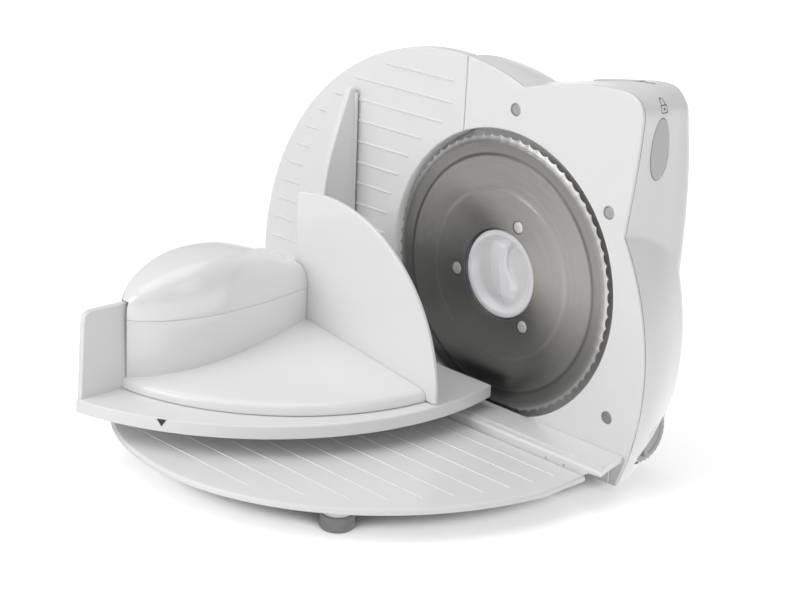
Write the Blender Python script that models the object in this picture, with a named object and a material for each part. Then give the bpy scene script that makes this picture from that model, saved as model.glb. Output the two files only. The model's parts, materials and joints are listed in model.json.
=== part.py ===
"""Household food slicer with a folding table, built as separate pieces.

All lengths are in metres and +Z is up. The pieces are first shaped about the
blade: X runs along the carriage travel, Y into the machine, and the slicing
plane is y = 0 with the blade axis through the origin. At the end every piece
is moved so that the slicer stands on z = 0 with its footprint centred.
"""

import math

import bmesh
import bpy
from mathutils import Vector

# Where the blade axis stands on the worktop
PLACE_X = 0.049
PLACE_Y = 0.080

# Shared clearances and drawing accuracy
FIT = 0.0003
PLAY = 0.0006
OVERRUN = 0.004
CREASE_ANGLE = 0.6
FLAT_ANGLE = 0.0005
WELD = 0.000002
MITRE_LIMIT = 0.25
ROUND_STEPS = 12
FINE_STEPS = 36

# Big disc outline shared by the stop plate and the housing
DISC_X = -0.049
DISC_Z = -0.038
DISC_RADIUS = 0.1645
SEAM_X = -0.0355
CHORD_Z = -0.102
DISC_ARC_STEPS = 15
CROWN_ARC_STEPS = 4
LOBE_SHARES = (
    (0.0122, 0.6936), (0.2316, 0.7459), (0.3076, 0.7599), (0.4237, 0.7733), (0.4985, 0.7745),
    (0.5398, 0.7672), (0.5745, 0.7453), (0.5909, 0.7094), (0.5897, 0.6188), (0.5793, 0.4918),
    (0.5653, 0.3623), (0.5447, 0.1824),
)

# Rear housing
PANEL_EDGE = 0.0015
PARTING_GAP = 0.0006
HOUSING_DEPTH = 0.054
HOUSING_WALL = 0.0025
DEPTH_SHARES = (0, 0.229, 0.461, 0.69, 0.845, 0.932, 0.98, 1)
DISC_ROUNDING = 0.022
DISC_ROUNDING_SHARES = (0, 0.014, 0.055, 0.18, 0.364, 0.568, 0.795, 1)
LOBE_ROUNDING = 0.012
LOBE_ROUNDING_SHARES = (0, 0.025, 0.058, 0.117, 0.25, 0.433, 0.69, 1)
BELLY_RISE = 0.022
BELLY_RISE_SHARES = (0, 0.07, 0.43, 0.66, 0.77, 0.84, 0.91, 1)
BOSS_RADIUS = 0.0045
BOSS_BORE = 0.0016
BOSS_BORE_DEPTH = 0.016
SCREW_SHARES = (
    (0.0267, 0.6164), (0.4809, 0.3483), (0.5514, -0.3812), (0.1216, -0.5593),
)
BOSS_REACH_SHARES = (1, 1, 1, 0.48)
REAR_FOOT_X = 0.070
REAR_FOOT_Y = 0.032
CORD_X = 0.030
CORD_Z = -0.060
CORD_HOLE_RADIUS = 0.006
VENT_COUNT = 6
VENT_PITCH = 0.008
VENT_LENGTH = 0.030
VENT_WIDTH = 0.003
VENT_X = 0.052
VENT_Z = 0.058

# Front panel
PANEL_THICKNESS = 0.0025
PANEL_BEVEL = 0.0005
LIP_DEPTH = 0.005
LIP_WALL = 0.0015
BELLY_PLAY = 0.0009
WELL_RADIUS = 0.088
WELL_DEPTH = 0.010
WELL_WALL = 0.002
HUB_OPENING_RADIUS = 0.016
PILLAR_RADIUS = 0.004
PILLAR_BORE = 0.0013
PILLAR_CIRCLE = 0.056
PILLAR_ANGLES = (115, 245, 300)

# Face screws
HEAD_RADIUS = 0.0035
HEAD_DEPTH = 0.0013
HEAD_SINK = 0.0002
SCREW_RADIUS = 0.0014
SCREW_LENGTH = 0.012
DRIVE_RADIUS = 0.0013
DRIVE_DEPTH = 0.0008
DRIVE_SIDE_COUNT = 6

# Blade
BLADE_RADIUS = 0.085
BLADE_FACE_Y = 0.0003
BLADE_THICKNESS = 0.001
BLADE_BORE = 0.028
BLADE_HOLE_CIRCLE = 0.0347
BLADE_HOLE_RADIUS = 0.0027
BLADE_HOLE_ANGLES = (68.2, 188.2, 308.2)
SCALLOP_COUNT = 71
SCALLOP_DEPTH = 0.0014
SCALLOP_POINT_COUNT = 2
SCALLOP_START_ANGLE = 8
BEVEL_RING = 0.0065
GROOVE_WIDTH = 0.0015
DISH_DEPTH = 0.0006

# Blade carrier and its gear
CARRIER_RADIUS = 0.039
CARRIER_FACE_Y = 0.0024
CARRIER_THICKNESS = 0.0024
CUP_WALL = 0.0024
CUP_FLOOR_Y = 0.0066
CUP_BACK_Y = 0.009
CUP_RADIUS = 0.0286
HUB_RADIUS = 0.012
AXLE_RADIUS = 0.004
PIN_RADIUS = 0.0023
GEAR_Y = 0.030
GEAR_WIDTH = 0.006
GEAR_MODULE = 0.00125
GEAR_TEETH = 48
TOOTH_BACKLASH = 0.0007
ROOT_CLEARANCE = 0.0004
GEAR_ROOT_EXTRA = 0.0004
PRESSURE_ANGLE = 20
TOOTH_TIP_SHARE = 0.125
GEAR_WEB = 0.003
GEAR_RIM = 0.005
WORM_PITCH_RADIUS = 0.006
WORM_LENGTH = 0.020
WORM_STEPS = 10
WORM_HAND = 1
WORM_PHASE_SHARE = 0.5

# Blade knob
KNOB_RADIUS = 0.027
KNOB_FACE_Y = 0.0018
KNOB_BACK_Y = 0.0063
KNOB_RIM = 0.0022
KNOB_DISH = 0.0026
KNOB_BAR_WIDTH = 0.008
KNOB_BAR_LENGTH = 0.044
KNOB_BAR_FACE_Y = 0.0022
KNOB_STEM_RADIUS = 0.0037
KNOB_STEM_END_Y = 0.0100

# Gear plate
PLATE_Y = 0.039
PLATE_THICKNESS = 0.0025
PLATE_LEFT = -0.030
PLATE_RIGHT = 0.0335
PLATE_HALF_HEIGHT = 0.0565
ARM_RIGHT = 0.053
ARM_HALF_HEIGHT = 0.014
TAB_TOP_Z = 0.028
TAB_THICKNESS = 0.0025
TAB_FRONT_Y = 0.0145
LOW_TAB_Z = -0.0185
LOW_TAB_HALF = 0.007
LOW_TAB_FRONT_Y = 0.0245
AXLE_FRONT_Y = 0.0106
AXLE_BACK_Y = 0.0435

# Motor
MOTOR_X = 0.036
CAN_RADIUS = 0.016
CAN_WALL = 0.0015
CAN_BOTTOM_Z = 0.0283
CAN_TOP_Z = 0.086
SHAFT_RADIUS = 0.0025
SHAFT_BOTTOM_Z = -0.0225
SHAFT_TOP_Z = 0.0905
MOTOR_HOLE_RADIUS = 0.004
MAGNET_THICKNESS = 0.003
MAGNET_BOTTOM_Z = 0.041
MAGNET_TOP_Z = 0.072
MAGNET_ANGLE = 120
ARMATURE_RADIUS = 0.0103
ARMATURE_BOTTOM_Z = 0.042
ARMATURE_TOP_Z = 0.071
ARMATURE_POLES = 5
SLOT_WIDTH = 0.0016
SLOT_DEPTH = 0.004
COMMUTATOR_RADIUS = 0.005
COMMUTATOR_BOTTOM_Z = 0.0750
COMMUTATOR_TOP_Z = 0.0820
FAN_RADIUS = 0.0135
FAN_HUB_RADIUS = 0.005
FAN_BOTTOM_Z = 0.0320
FAN_HEIGHT = 0.006
FAN_DISC = 0.0012
FAN_BLADES = 7
FAN_BLADE_WIDTH = 0.0012
WINDOW_WIDTH = 0.012
WINDOW_HEIGHT = 0.006
BRUSH_WIDTH = 0.005
BRUSH_HEIGHT = 0.005
CAP_HEIGHT = 0.006
SWITCH_BLOCK_LENGTH = 0.026
SWITCH_LEFT_X = 0.028
SWITCH_RIGHT_X = 0.060
SWITCH_BLOCK_HEIGHT = 0.018

# Power slide on top of the housing
SLIDE_X = 0.052
SLIDE_Y = 0.033
SLIDE_SURFACE_Z = 0.1252
SLIDE_TILT = 0.105
SLIDE_HALF_LENGTH = 0.016
SLIDE_HALF_WIDTH = 0.0095
SLIDE_HEIGHT = 0.0022
SLIDE_STEM_LENGTH = 0.010
SLIDE_STEM_WIDTH = 0.006
SLIDE_STEM_DROP = 0.0078
SLIDE_FOOT_LENGTH = 0.014
SLIDE_FOOT_WIDTH = 0.010
SLIDE_FOOT_THICKNESS = 0.0012
SLIDE_TRAVEL = 0.005
SLIDE_CROWN_SHARES = ((0, 0), (0.55, 0), (0.9, 0.06), (1, 0.14))
OVAL_STEPS = 22

# Lock button on the side of the housing
LOCK_Y = 0.019
LOCK_Z = 0.095
LOCK_HALF_WIDTH = 0.0092
LOCK_HALF_HEIGHT = 0.0182
LOCK_OUT_X = 0.0975
LOCK_IN_X = 0.0885
LOCK_LEAN = 0.095
LOCK_FLANGE = 0.0012
LOCK_FLANGE_THICKNESS = 0.0015
LOCK_FLANGE_X = 0.0905

# Thickness dial, its shaft and the rack
DIAL_Y = 0.022
DIAL_Z = -0.074
DIAL_RADIUS = 0.0175
DIAL_OUT_X = 0.1035
DIAL_IN_X = 0.0975
DIAL_RIDGES = 30
DIAL_RIDGE_DEPTH = 0.0008
DIAL_GRIP_WIDTH = 0.006
DIAL_GRIP_HEIGHT = 0.0012
POCKET_FLOOR_X = 0.0968
POCKET_PLAY = 0.0012
POCKET_WALL = 0.002
SHAFT_ROD_RADIUS = 0.0025
SHAFT_LEFT_X = -0.0575
PINION_TEETH = 12
PINION_MODULE = 0.001
PINION_RIGHT_X = -0.0485
PINION_LEFT_X = -0.0555
RACK_TEETH = 10
RACK_LEAD = 6

# Stop plate and its slider
STOP_GAP = 0.0008
STOP_BOTTOM_Z = -0.0795
STOP_THICKNESS = 0.0022
STOP_SKIRT = 0.008
STOP_WALL = 0.002
STOP_ARC_STEPS = 30
WELL_ARC_STEPS = 18
STOP_BEVEL = 0.0006
STOP_RIB_WIDTH = 0.0012
STOP_RIB_HEIGHT = 0.0005
STOP_RIB_TOP_Z = 0.1093
STOP_RIB_PITCH = 0.0135
STOP_RIB_COUNT = 14
STOP_RIB_RIGHT_X = -0.045
STOP_RIB_WELL_RADIUS = 0.0977
STOP_RIB_DISC_RADIUS = 0.1575
SLIDER_LEFT_X = -0.150
SLIDER_RIGHT_X = -0.048
SLIDER_FRONT_Y = 0.0025
SLIDER_BACK_Y = 0.0362
SLIDER_TOP_Z = -0.0818
SLIDER_BOTTOM_Z = -0.0905
UPRIGHT_RIGHT_X = -0.064
UPRIGHT_THICKNESS = 0.003
UPRIGHT_TOP_Z = -0.062
ROD_RADIUS = 0.0025
ROD_SHARES = (0.12, 0.8)
ROD_FRONT_Y = -0.0018
ROD_BACK_Y = 0.0520

# Base with the carriage rail
RAIL_TOP_Z = -0.0818
RAIL_FRONT_Y = -0.0283
BASE_BOTTOM_Z = -0.101
BASE_WALL = 0.0025
RAIL_HALF_SHARES = (
    (0.9404, -0.0018), (0.9581, -0.0851), (0.9824, -0.1720),
)
RIDGE_Y = -0.022
RIDGE_WIDTH = 0.0012
RIDGE_HEIGHT = 0.0008
SHOULDER = 0.0012
DECK_TOP_Z = -0.092
DECK_LEFT_X = -0.203
DECK_BACK_Y = 0.053
LUG_WALL = 0.004
LUG_TOP_Z = -0.080
LUG_LEFT_X = -0.156
LUG_RIGHT_X = -0.060
FOOT_RADIUS = 0.009
FOOT_BOSS_TOP_Z = -0.083
FOOT_BORE = 0.002
FOOT_STEM = 0.0016
FOOT_CHAMFER = 0.0012
FOOT_TAPER_SHARE = 0.9
FOOT_HEIGHT = 0.007
BLADE_HEIGHT = FOOT_HEIGHT - BASE_BOTTOM_Z
FOOT_STEM_LENGTH = 0.006
LEFT_FOOT_X = -0.185
RIGHT_FOOT_X = 0.070
FRONT_FOOT_Y = -0.0145
DECK_FOOT_Y = 0.040

# Table
TABLE_X = -0.054
TABLE_BACK_Y = -0.0293
TABLE_CENTRE_Y = -0.0302
TABLE_HALF_LENGTH = 0.1596
TABLE_REACH = 0.1802
TABLE_TOP_Z = -0.0867
TABLE_RIM_Z = -0.0902
TABLE_THICKNESS = 0.0022
TABLE_RIM_WALL = 0.0025
TABLE_BEVEL = 0.0009
TABLE_STEPS = 34
TABLE_RIB_FIRST_Y = -0.0433
TABLE_RIB_PITCH = 0.016
TABLE_RIB_COUNT = 10
TABLE_RIB_WIDTH = 0.0012
TABLE_RIB_HEIGHT = 0.0005
TABLE_RIB_INSET = 0.013
TABLE_FOOT_SHARES = (-0.5382206, 0.5382206)
TABLE_FOOT_Y = -0.1539
TABLE_FOOT_RADIUS = 0.00965
TABLE_FOOT_TOP_Z = -0.0985
HINGE_Y = -0.0325
HINGE_Z = -0.0960
HINGE_SHARES = (-0.6, 0.6)
HINGE_PIN_RADIUS = 0.0018
HINGE_PIN_LENGTH = 0.026
KNUCKLE_RADIUS = 0.0042
KNUCKLE_WIDTH = 0.010
EAR_WIDTH = 0.006

# Carriage
CARRIAGE_TOP_Z = -0.067
CARRIAGE_RIM_Z = -0.075
CARRIAGE_BACK_Y = -0.0065
CARRIAGE_ARC_X = -0.161
CARRIAGE_ARC_Y = -0.0488
CARRIAGE_ARC_RADIUS = 0.1728
CARRIAGE_TIP_X = 0.0085
CARRIAGE_TIP_Y = -0.0088
CARRIAGE_FLOOR = 0.002
CARRIAGE_WALL = 0.0022
CARRIAGE_BEVEL = 0.001
CARRIAGE_ARC_STEPS = 22
FENCE_X = -0.1215
FENCE_THICKNESS = 0.0045
FENCE_LEAN = 0.0408
FENCE_SHARES = (
    (-1.0000, -0.3480), (-0.9819, -0.1021), (-0.9763, -0.0817), (-0.9582, -0.0719),
    (-0.2042, -0.0719), (-0.1671, -0.0557), (-0.1439, -0.0139), (-0.1346, 0.0464),
    (-0.1304, 0.1151), (-0.1146, 0.1963), (-0.0974, 0.2483), (-0.0585, 0.3466),
    (-0.0316, 0.4111), (-0.0213, 0.4176), (-0.0102, 0.4121), (-0.0056, 0.3991),
    (-0.0056, -0.2691), (-0.0302, -0.2923), (-0.0302, -0.3480),
)
FENCE_LENGTH = 0.2155
GUARD_FRONT_Y = -0.0035
GUARD_BACK_Y = -0.0012
GUARD_SHARES = (
    (-0.5708, -0.3155), (-0.5847, 0.4037), (-0.6102, 0.4037), (-0.6756, 0.3606),
    (-0.7332, 0.2784), (-0.7796, 0.1949), (-0.8046, 0.1374), (-0.8158, 0.0835),
    (-0.8260, 0.0139), (-0.8418, -0.0394), (-0.8353, -0.1021), (-0.8028, -0.1856),
    (-0.7332, -0.2691), (-0.6497, -0.3155),
)
RUNNER_LEFT_X = -0.118
RUNNER_RIGHT_X = -0.018
RUNNER_FRONT_Y = -0.0262
RUNNER_BACK_Y = -0.0092
RUNNER_TOP_Z = -0.0693
RUNNER_BOTTOM_Z = -0.0813

# Food holder
HOLDER_X = -0.1237
HOLDER_BOTTOM_Z = -0.0665
HOLDER_WALL = 0.0022
HOLDER_BACK_Y = -0.0588
HOLDER_HALF_WIDTH = 0.0273
HOLDER_SKIRT_Z = -0.0645
HOLDER_LENGTH = 0.1844
HOLDER_Y_SHARES = (
    -1.0000, -0.9843, -0.9544, -0.9111, -0.8563, -0.7863, -0.7153, -0.6236, -0.5385, -0.4192,
    -0.3189,
)
HOLDER_WIDTH_SHARES = (
    0.0586, 0.2271, 0.4176, 0.6154, 0.7949, 0.9304, 1.0000, 0.9963, 0.9524, 0.8425, 0.7253,
)
HOLDER_CREST_Z = 0.0072
HOLDER_CREST_SHARES = (
    -2.5694, -1.9444, -1.1667, -0.3889, 0.3472, 0.8750, 1.0000, 0.9861, 0.6667, -0.2222,
    -1.3889,
)
ARCH_STEPS = 12
ARCH_WIDTH_POWER = 0.55
ARCH_HEIGHT_POWER = 0.62
HOLDER_HIP_Z = -0.030
SLOT_LEFT_X = -0.1305
SLOT_RIGHT_X = -0.1190
SLOT_TOP_Z = -0.0125
APRON_CORNER_X = -0.1036
APRON_ARC_X = -0.1359
APRON_ARC_Y = -0.0487
APRON_ARC_RADIUS = 0.1385
APRON_START_ANGLE = -84.2
APRON_END_ANGLE = -4.2
APRON_INNER_Z = -0.0455
APRON_OUTER_Z = -0.0600
APRON_RIM_Z = -0.0630
APRON_RIM_SHARE = 0.97
APRON_STEPS = 18
PLATE_ARC_X = -0.0923
PLATE_ARC_Z = -0.0661
PLATE_ARC_RADIUS = 0.1023
PLATE_EDGE_X = -0.1165
PUSHER_FRONT_Y = -0.0585
PUSHER_BACK_Y = -0.0560
PUSHER_ARC_STEPS = 22
SPIKE_LENGTH = 0.006
SPIKE_RADIUS = 0.0016
SPIKE_SIDE_COUNT = 8
SPIKE_TIP_SHARE = 0.2
SPIKE_COLUMNS = 4
SPIKE_ROWS = 3
SPIKE_LEFT_X = -0.104
SPIKE_PITCH_X = 0.020
SPIKE_BOTTOM_Z = -0.046
SPIKE_PITCH_Z = 0.020

FINISHES = {
    "white_plastic": ((0.80, 0.80, 0.80), 0.35, 0.0),
    "grey_plastic": ((0.42, 0.42, 0.43), 0.45, 0.0),
    "pale_grey": ((0.55, 0.55, 0.56), 0.45, 0.0),
    "knob_plastic": ((0.78, 0.76, 0.84), 0.25, 0.0),
    "dark_plastic": ((0.08, 0.08, 0.08), 0.50, 0.0),
    "steel": ((0.58, 0.58, 0.60), 0.28, 1.0),
    "blade_steel": ((0.50, 0.50, 0.52), 0.22, 1.0),
    "zinc": ((0.62, 0.63, 0.65), 0.38, 1.0),
    "copper": ((0.72, 0.42, 0.25), 0.35, 1.0),
    "ferrite": ((0.10, 0.10, 0.11), 0.70, 0.0),
    "carbon": ((0.05, 0.05, 0.05), 0.60, 0.0),
    "gear_plastic": ((0.72, 0.70, 0.62), 0.45, 0.0),
    "rubber": ((0.25, 0.25, 0.25), 0.80, 0.0),
}


def clear_scene():
    """Remove every object so that the build starts empty."""
    for item in list(bpy.data.objects):
        bpy.data.objects.remove(item)


def scaled(shares, size):
    """Turn a table of point shares into lengths."""
    return [(u * size, v * size) for u, v in shares]


def body_from(vertices, faces):
    """Make an object from a closed list of vertices and faces."""
    mesh = bpy.data.meshes.new("shape")
    mesh.from_pydata(vertices, [], faces)
    work = bmesh.new()
    work.from_mesh(mesh)
    bmesh.ops.triangulate(work, faces=work.faces)
    bmesh.ops.recalc_face_normals(work, faces=work.faces)
    if work.calc_volume(signed=True) < 0:
        bmesh.ops.reverse_faces(work, faces=work.faces)
    work.to_mesh(mesh)
    work.free()
    shape = bpy.data.objects.new("shape", mesh)
    bpy.context.scene.collection.objects.link(shape)
    return shape


def loft(rings):
    """Join closed rings of points into one solid with flat ends."""
    count = len(rings[0])
    vertices = [point for ring in rings for point in ring]
    faces = [list(range(count))]
    for row in range(len(rings) - 1):
        for column in range(count):
            first = row * count + column
            second = row * count + (column + 1) % count
            faces.append([first, second, second + count, first + count])
    last = (len(rings) - 1) * count
    faces.append([last + column for column in range(count)])
    return body_from(vertices, faces)


def prism(axis, outline, low, high):
    """Extrude an outline along an axis.

    The outline is (x, z) for the Y axis, (x, y) for Z and (y, z) for X.
    """
    place = {
        "x": lambda u, v, w: (w, u, v),
        "y": lambda u, v, w: (u, w, v),
        "z": lambda u, v, w: (u, v, w),
    }[axis]
    return loft([[place(u, v, level) for u, v in outline] for level in (low, high)])


def box(x_low, x_high, y_low, y_high, z_low, z_high):
    """Make a plain box between two corners."""
    outline = [(x_low, y_low), (x_high, y_low), (x_high, y_high), (x_low, y_high)]
    return prism("z", outline, z_low, z_high)


def circle(radius, steps, centre=(0, 0), start=0):
    """List points round a circle."""
    turn = 2 * math.pi / steps
    return [
        (
            centre[0] + radius * math.cos(start + turn * step),
            centre[1] + radius * math.sin(start + turn * step),
        )
        for step in range(steps)
    ]


def oval(half_u, half_v, centre=(0, 0)):
    """List points round an oval."""
    return [(centre[0] + half_u * u, centre[1] + half_v * v) for u, v in circle(1, OVAL_STEPS)]


def rod(axis, centre, radius, low, high, steps=ROUND_STEPS):
    """Make a round bar along an axis through a centre."""
    return prism(axis, circle(radius, steps, centre), low, high)


def lathe(axis, centre, profile, steps):
    """Turn a closed profile of (radius, position) about an axis."""
    place = {
        "x": lambda u, v, w: (w, centre[0] + u, centre[1] + v),
        "y": lambda u, v, w: (centre[0] + u, w, centre[1] + v),
        "z": lambda u, v, w: (centre[0] + u, centre[1] + v, w),
    }[axis]
    vertices = []
    faces = []
    rows = len(profile)
    for u, v in circle(1, steps):
        vertices.extend(place(radius * u, radius * v, level) for radius, level in profile)
    for step in range(steps):
        here = step * rows
        there = ((step + 1) % steps) * rows
        for row in range(rows):
            after = (row + 1) % rows
            faces.append([here + row, here + after, there + after, there + row])
    return body_from(vertices, faces)


def combine(body, tool, operation):
    """Apply one Boolean and drop the tool.

    The exact solver loses or doubles walls of the thin curved shells here, so
    the manifold solver is used throughout.
    """
    tool.hide_render = True
    tool.display_type = "WIRE"
    modifier = body.modifiers.new("combine", "BOOLEAN")
    modifier.operation = operation
    modifier.solver = "MANIFOLD"
    modifier.object = tool
    bpy.context.view_layer.update()
    graph = bpy.context.evaluated_depsgraph_get()
    mesh = bpy.data.meshes.new_from_object(body.evaluated_get(graph))
    body.modifiers.clear()
    work = bmesh.new()
    work.from_mesh(mesh)
    bmesh.ops.dissolve_limit(work, angle_limit=FLAT_ANGLE, verts=work.verts, edges=work.edges)
    work.to_mesh(mesh)
    work.free()
    body.data = mesh
    bpy.data.objects.remove(tool)
    return body


def cut(body, *tools):
    """Take tools out of a body."""
    for tool in tools:
        combine(body, tool, "DIFFERENCE")
    return body


def add(body, *tools):
    """Fuse tools to a body."""
    for tool in tools:
        combine(body, tool, "UNION")
    return body


def keep(body, tool):
    """Keep only what a body shares with a tool."""
    return combine(body, tool, "INTERSECT")


def offset_line(points, distance):
    """Move an open line of points sideways by a distance."""
    moved = []
    count = len(points)
    for index, point in enumerate(points):
        before = Vector(points[max(index - 1, 0)])
        after = Vector(points[min(index + 1, count - 1)])
        here = Vector(point)
        normals = []
        for start, end in ((before, here), (here, after)):
            step = end - start
            if step.length > 0:
                normals.append(Vector((step.y, -step.x)).normalized())
        normal = sum(normals, Vector((0, 0))) / len(normals)
        moved.append(tuple(here + normal * (distance / normal.length_squared)))
    return moved


def offset_loop(points, distance):
    """Move a closed counter-clockwise outline inwards by a distance."""
    count = len(points)
    moved = []
    for index, point in enumerate(points):
        here = Vector(point)
        before = Vector(points[index - 1])
        after = Vector(points[(index + 1) % count])
        first = (here - before).normalized()
        second = (after - here).normalized()
        normal = (Vector((-first.y, first.x)) + Vector((-second.y, second.x))) / 2
        moved.append(tuple(here + normal * (distance / max(normal.length_squared, MITRE_LIMIT))))
    return moved


def disc_hit(start, end, radius):
    """Find where a line from start to end crosses the big disc."""
    centre = Vector((DISC_X, DISC_Z))
    first = Vector(start) - centre
    step = Vector(end) - Vector(start)
    a = step.dot(step)
    b = 2 * first.dot(step)
    c = first.dot(first) - radius * radius
    root = math.sqrt(b * b - 4 * a * c)
    roots = [(-b - root) / (2 * a), (-b + root) / (2 * a)]
    share = min(roots, key=lambda value: abs(value - 0.5))
    return Vector(start) + step * share


def disc_angle(point):
    """Angle of a point about the big disc's centre."""
    return math.atan2(point[1] - DISC_Z, point[0] - DISC_X)


def disc_arc(radius, first, last, steps):
    """List points along the big disc."""
    return [
        (
            DISC_X + radius * math.cos(first + (last - first) * step / steps),
            DISC_Z + radius * math.sin(first + (last - first) * step / steps),
        )
        for step in range(steps + 1)
    ]


def face_outline(disc_inset, lobe_inset, belly_inset, seam_inset):
    """Outline of the housing face, counter-clockwise from the front."""
    radius = DISC_RADIUS - disc_inset
    bottom = CHORD_Z + belly_inset
    left = SEAM_X + seam_inset
    lobe = offset_line(scaled(LOBE_SHARES, DISC_RADIUS), lobe_inset)
    notch_low = disc_hit(lobe[-1], lobe[-2], radius)
    notch_top = disc_hit(lobe[0], lobe[1], radius)
    corner = math.asin((bottom - DISC_Z) / radius)
    crown = math.acos((left - DISC_X) / radius)
    arc = disc_arc(radius, corner, disc_angle(notch_low), DISC_ARC_STEPS)
    top = disc_arc(radius, disc_angle(notch_top), crown, CROWN_ARC_STEPS)
    return [(left, bottom)] + arc + lobe[-2:0:-1] + top


def housing_sections(wall, front, depth):
    """Rings of the housing from front to back at an even wall inset."""
    rings = []
    for index, share in enumerate(DEPTH_SHARES):
        outline = face_outline(
            DISC_ROUNDING * DISC_ROUNDING_SHARES[index] + wall,
            LOBE_ROUNDING * LOBE_ROUNDING_SHARES[index] + wall,
            BELLY_RISE * BELLY_RISE_SHARES[index] + wall,
            wall,
        )
        level = front + (depth - front) * share
        rings.append([(x, level, z) for x, z in outline])
    return rings


def dial_pocket(radius, floor, play):
    """Room round the thickness dial, open to the rear and below."""
    body = rod("x", (DIAL_Y, DIAL_Z), radius, floor, DISC_RADIUS, FINE_STEPS)
    corner = box(
        floor,
        DISC_RADIUS,
        DIAL_Y,
        HOUSING_DEPTH + OVERRUN,
        CHORD_Z - OVERRUN,
        DIAL_Z + radius - play,
    )
    return add(body, corner)


def rear_housing():
    """Moulded rear shell with screw bosses and openings."""
    front = PANEL_EDGE + PARTING_GAP
    body = loft(housing_sections(0, front, HOUSING_DEPTH))
    foot = rod("z", (REAR_FOOT_X, REAR_FOOT_Y), FOOT_RADIUS, BASE_BOTTOM_Z, DIAL_Z)
    add(body, foot)
    cavity = loft(housing_sections(HOUSING_WALL, front - OVERRUN, HOUSING_DEPTH - HOUSING_WALL))
    for (x, z), reach in zip(scaled(SCREW_SHARES, DISC_RADIUS), BOSS_REACH_SHARES):
        cut(cavity, rod("y", (x, z), BOSS_RADIUS, PANEL_THICKNESS + FIT, HOUSING_DEPTH * reach))
    pocket_radius = DIAL_RADIUS + POCKET_PLAY
    cut(cavity, dial_pocket(pocket_radius + POCKET_WALL, POCKET_FLOOR_X - POCKET_WALL, 0))
    cut(body, cavity)
    cut(body, dial_pocket(pocket_radius, POCKET_FLOOR_X, FIT))
    for x, z in scaled(SCREW_SHARES, DISC_RADIUS):
        cut(body, rod("y", (x, z), BOSS_BORE, 0, BOSS_BORE_DEPTH))
    cut(body, rod("y", (0, 0), WELL_RADIUS + WELL_WALL + FIT, -OVERRUN,
                  WELL_DEPTH + WELL_WALL + FIT, FINE_STEPS))
    cut(body, rod("x", (DIAL_Y, DIAL_Z), SHAFT_ROD_RADIUS + FIT, SEAM_X - OVERRUN,
                  DIAL_IN_X))
    cut(body, prism("x", oval(LOCK_HALF_WIDTH + FIT, LOCK_HALF_HEIGHT + FIT, (LOCK_Y, LOCK_Z)),
                    LOCK_FLANGE_X, DISC_RADIUS))
    slot_half = SLIDE_STEM_WIDTH / 2 + PLAY
    cut(body, box(SLIDE_X - SLIDE_STEM_LENGTH / 2 - PLAY, SLIDE_X + SLIDE_STEM_LENGTH / 2 + PLAY,
                  SLIDE_Y - slot_half, SLIDE_Y + slot_half + SLIDE_TRAVEL,
                  SLIDE_SURFACE_Z - SLIDE_STEM_DROP, SLIDE_SURFACE_Z + OVERRUN))
    cut(body, rod("y", (CORD_X, CORD_Z), CORD_HOLE_RADIUS, HOUSING_DEPTH - HOUSING_WALL - OVERRUN,
                  HOUSING_DEPTH + OVERRUN))
    for index in range(VENT_COUNT):
        z = VENT_Z + (index - (VENT_COUNT - 1) / 2) * VENT_PITCH
        cut(body, box(VENT_X - VENT_LENGTH / 2, VENT_X + VENT_LENGTH / 2,
                      HOUSING_DEPTH - HOUSING_WALL - OVERRUN, HOUSING_DEPTH + OVERRUN,
                      z - VENT_WIDTH / 2, z + VENT_WIDTH / 2))
    cut(body, rod("z", (REAR_FOOT_X, REAR_FOOT_Y), FOOT_BORE, BASE_BOTTOM_Z - OVERRUN,
                  BASE_BOTTOM_Z + FOOT_STEM_LENGTH + PLAY))
    return body


def front_panel():
    """Flat front plate with the blade well and gear pillars."""
    lip = HOUSING_WALL + FIT
    inner = lip + LIP_WALL
    levels = [
        (0, PANEL_BEVEL),
        (PANEL_BEVEL, 0),
        (PANEL_EDGE, 0),
        (PANEL_EDGE, lip),
        (LIP_DEPTH, lip),
        (LIP_DEPTH, inner),
        (PANEL_THICKNESS, inner),
    ]
    rings = []
    for level, inset in levels:
        belly = inset + (BELLY_PLAY if inset >= lip else 0)
        rings.append([(x, level, z) for x, z in face_outline(inset, inset, belly, inset)])
    body = loft(rings)
    add(body, rod("y", (0, 0), WELL_RADIUS + WELL_WALL, PANEL_EDGE, WELL_DEPTH + WELL_WALL,
                  FINE_STEPS))
    for angle in PILLAR_ANGLES:
        x, z = polar(PILLAR_CIRCLE, angle)
        add(body, rod("y", (x, z), PILLAR_RADIUS, WELL_DEPTH, PLATE_Y - FIT))
        cut(body, rod("y", (x, z), PILLAR_BORE, PLATE_Y - BOSS_BORE_DEPTH, PLATE_Y))
    cut(body, rod("y", (0, 0), WELL_RADIUS, -OVERRUN, WELL_DEPTH, FINE_STEPS))
    cut(body, rod("y", (0, 0), HUB_OPENING_RADIUS, 0, WELL_DEPTH + WELL_WALL + OVERRUN,
                  FINE_STEPS))
    cut(body, box(SEAM_X - DISC_RADIUS, SEAM_X, -OVERRUN, HOUSING_DEPTH, -DISC_RADIUS,
                  DISC_RADIUS))
    pocket = DIAL_RADIUS + POCKET_PLAY + POCKET_WALL + FIT
    cut(body, rod("x", (DIAL_Y, DIAL_Z), pocket, POCKET_FLOOR_X - POCKET_WALL - FIT, DISC_RADIUS,
                  FINE_STEPS))
    for x, z in scaled(SCREW_SHARES, DISC_RADIUS):
        cut(body, rod("y", (x, z), HEAD_RADIUS + FIT, -OVERRUN, HEAD_SINK + HEAD_DEPTH + FIT))
        cut(body, rod("y", (x, z), SCREW_RADIUS + FIT, 0, PANEL_THICKNESS + OVERRUN))
    return body


def polar(radius, degrees):
    """Point at a radius and an angle in degrees."""
    angle = math.radians(degrees)
    return radius * math.cos(angle), radius * math.sin(angle)


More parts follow.
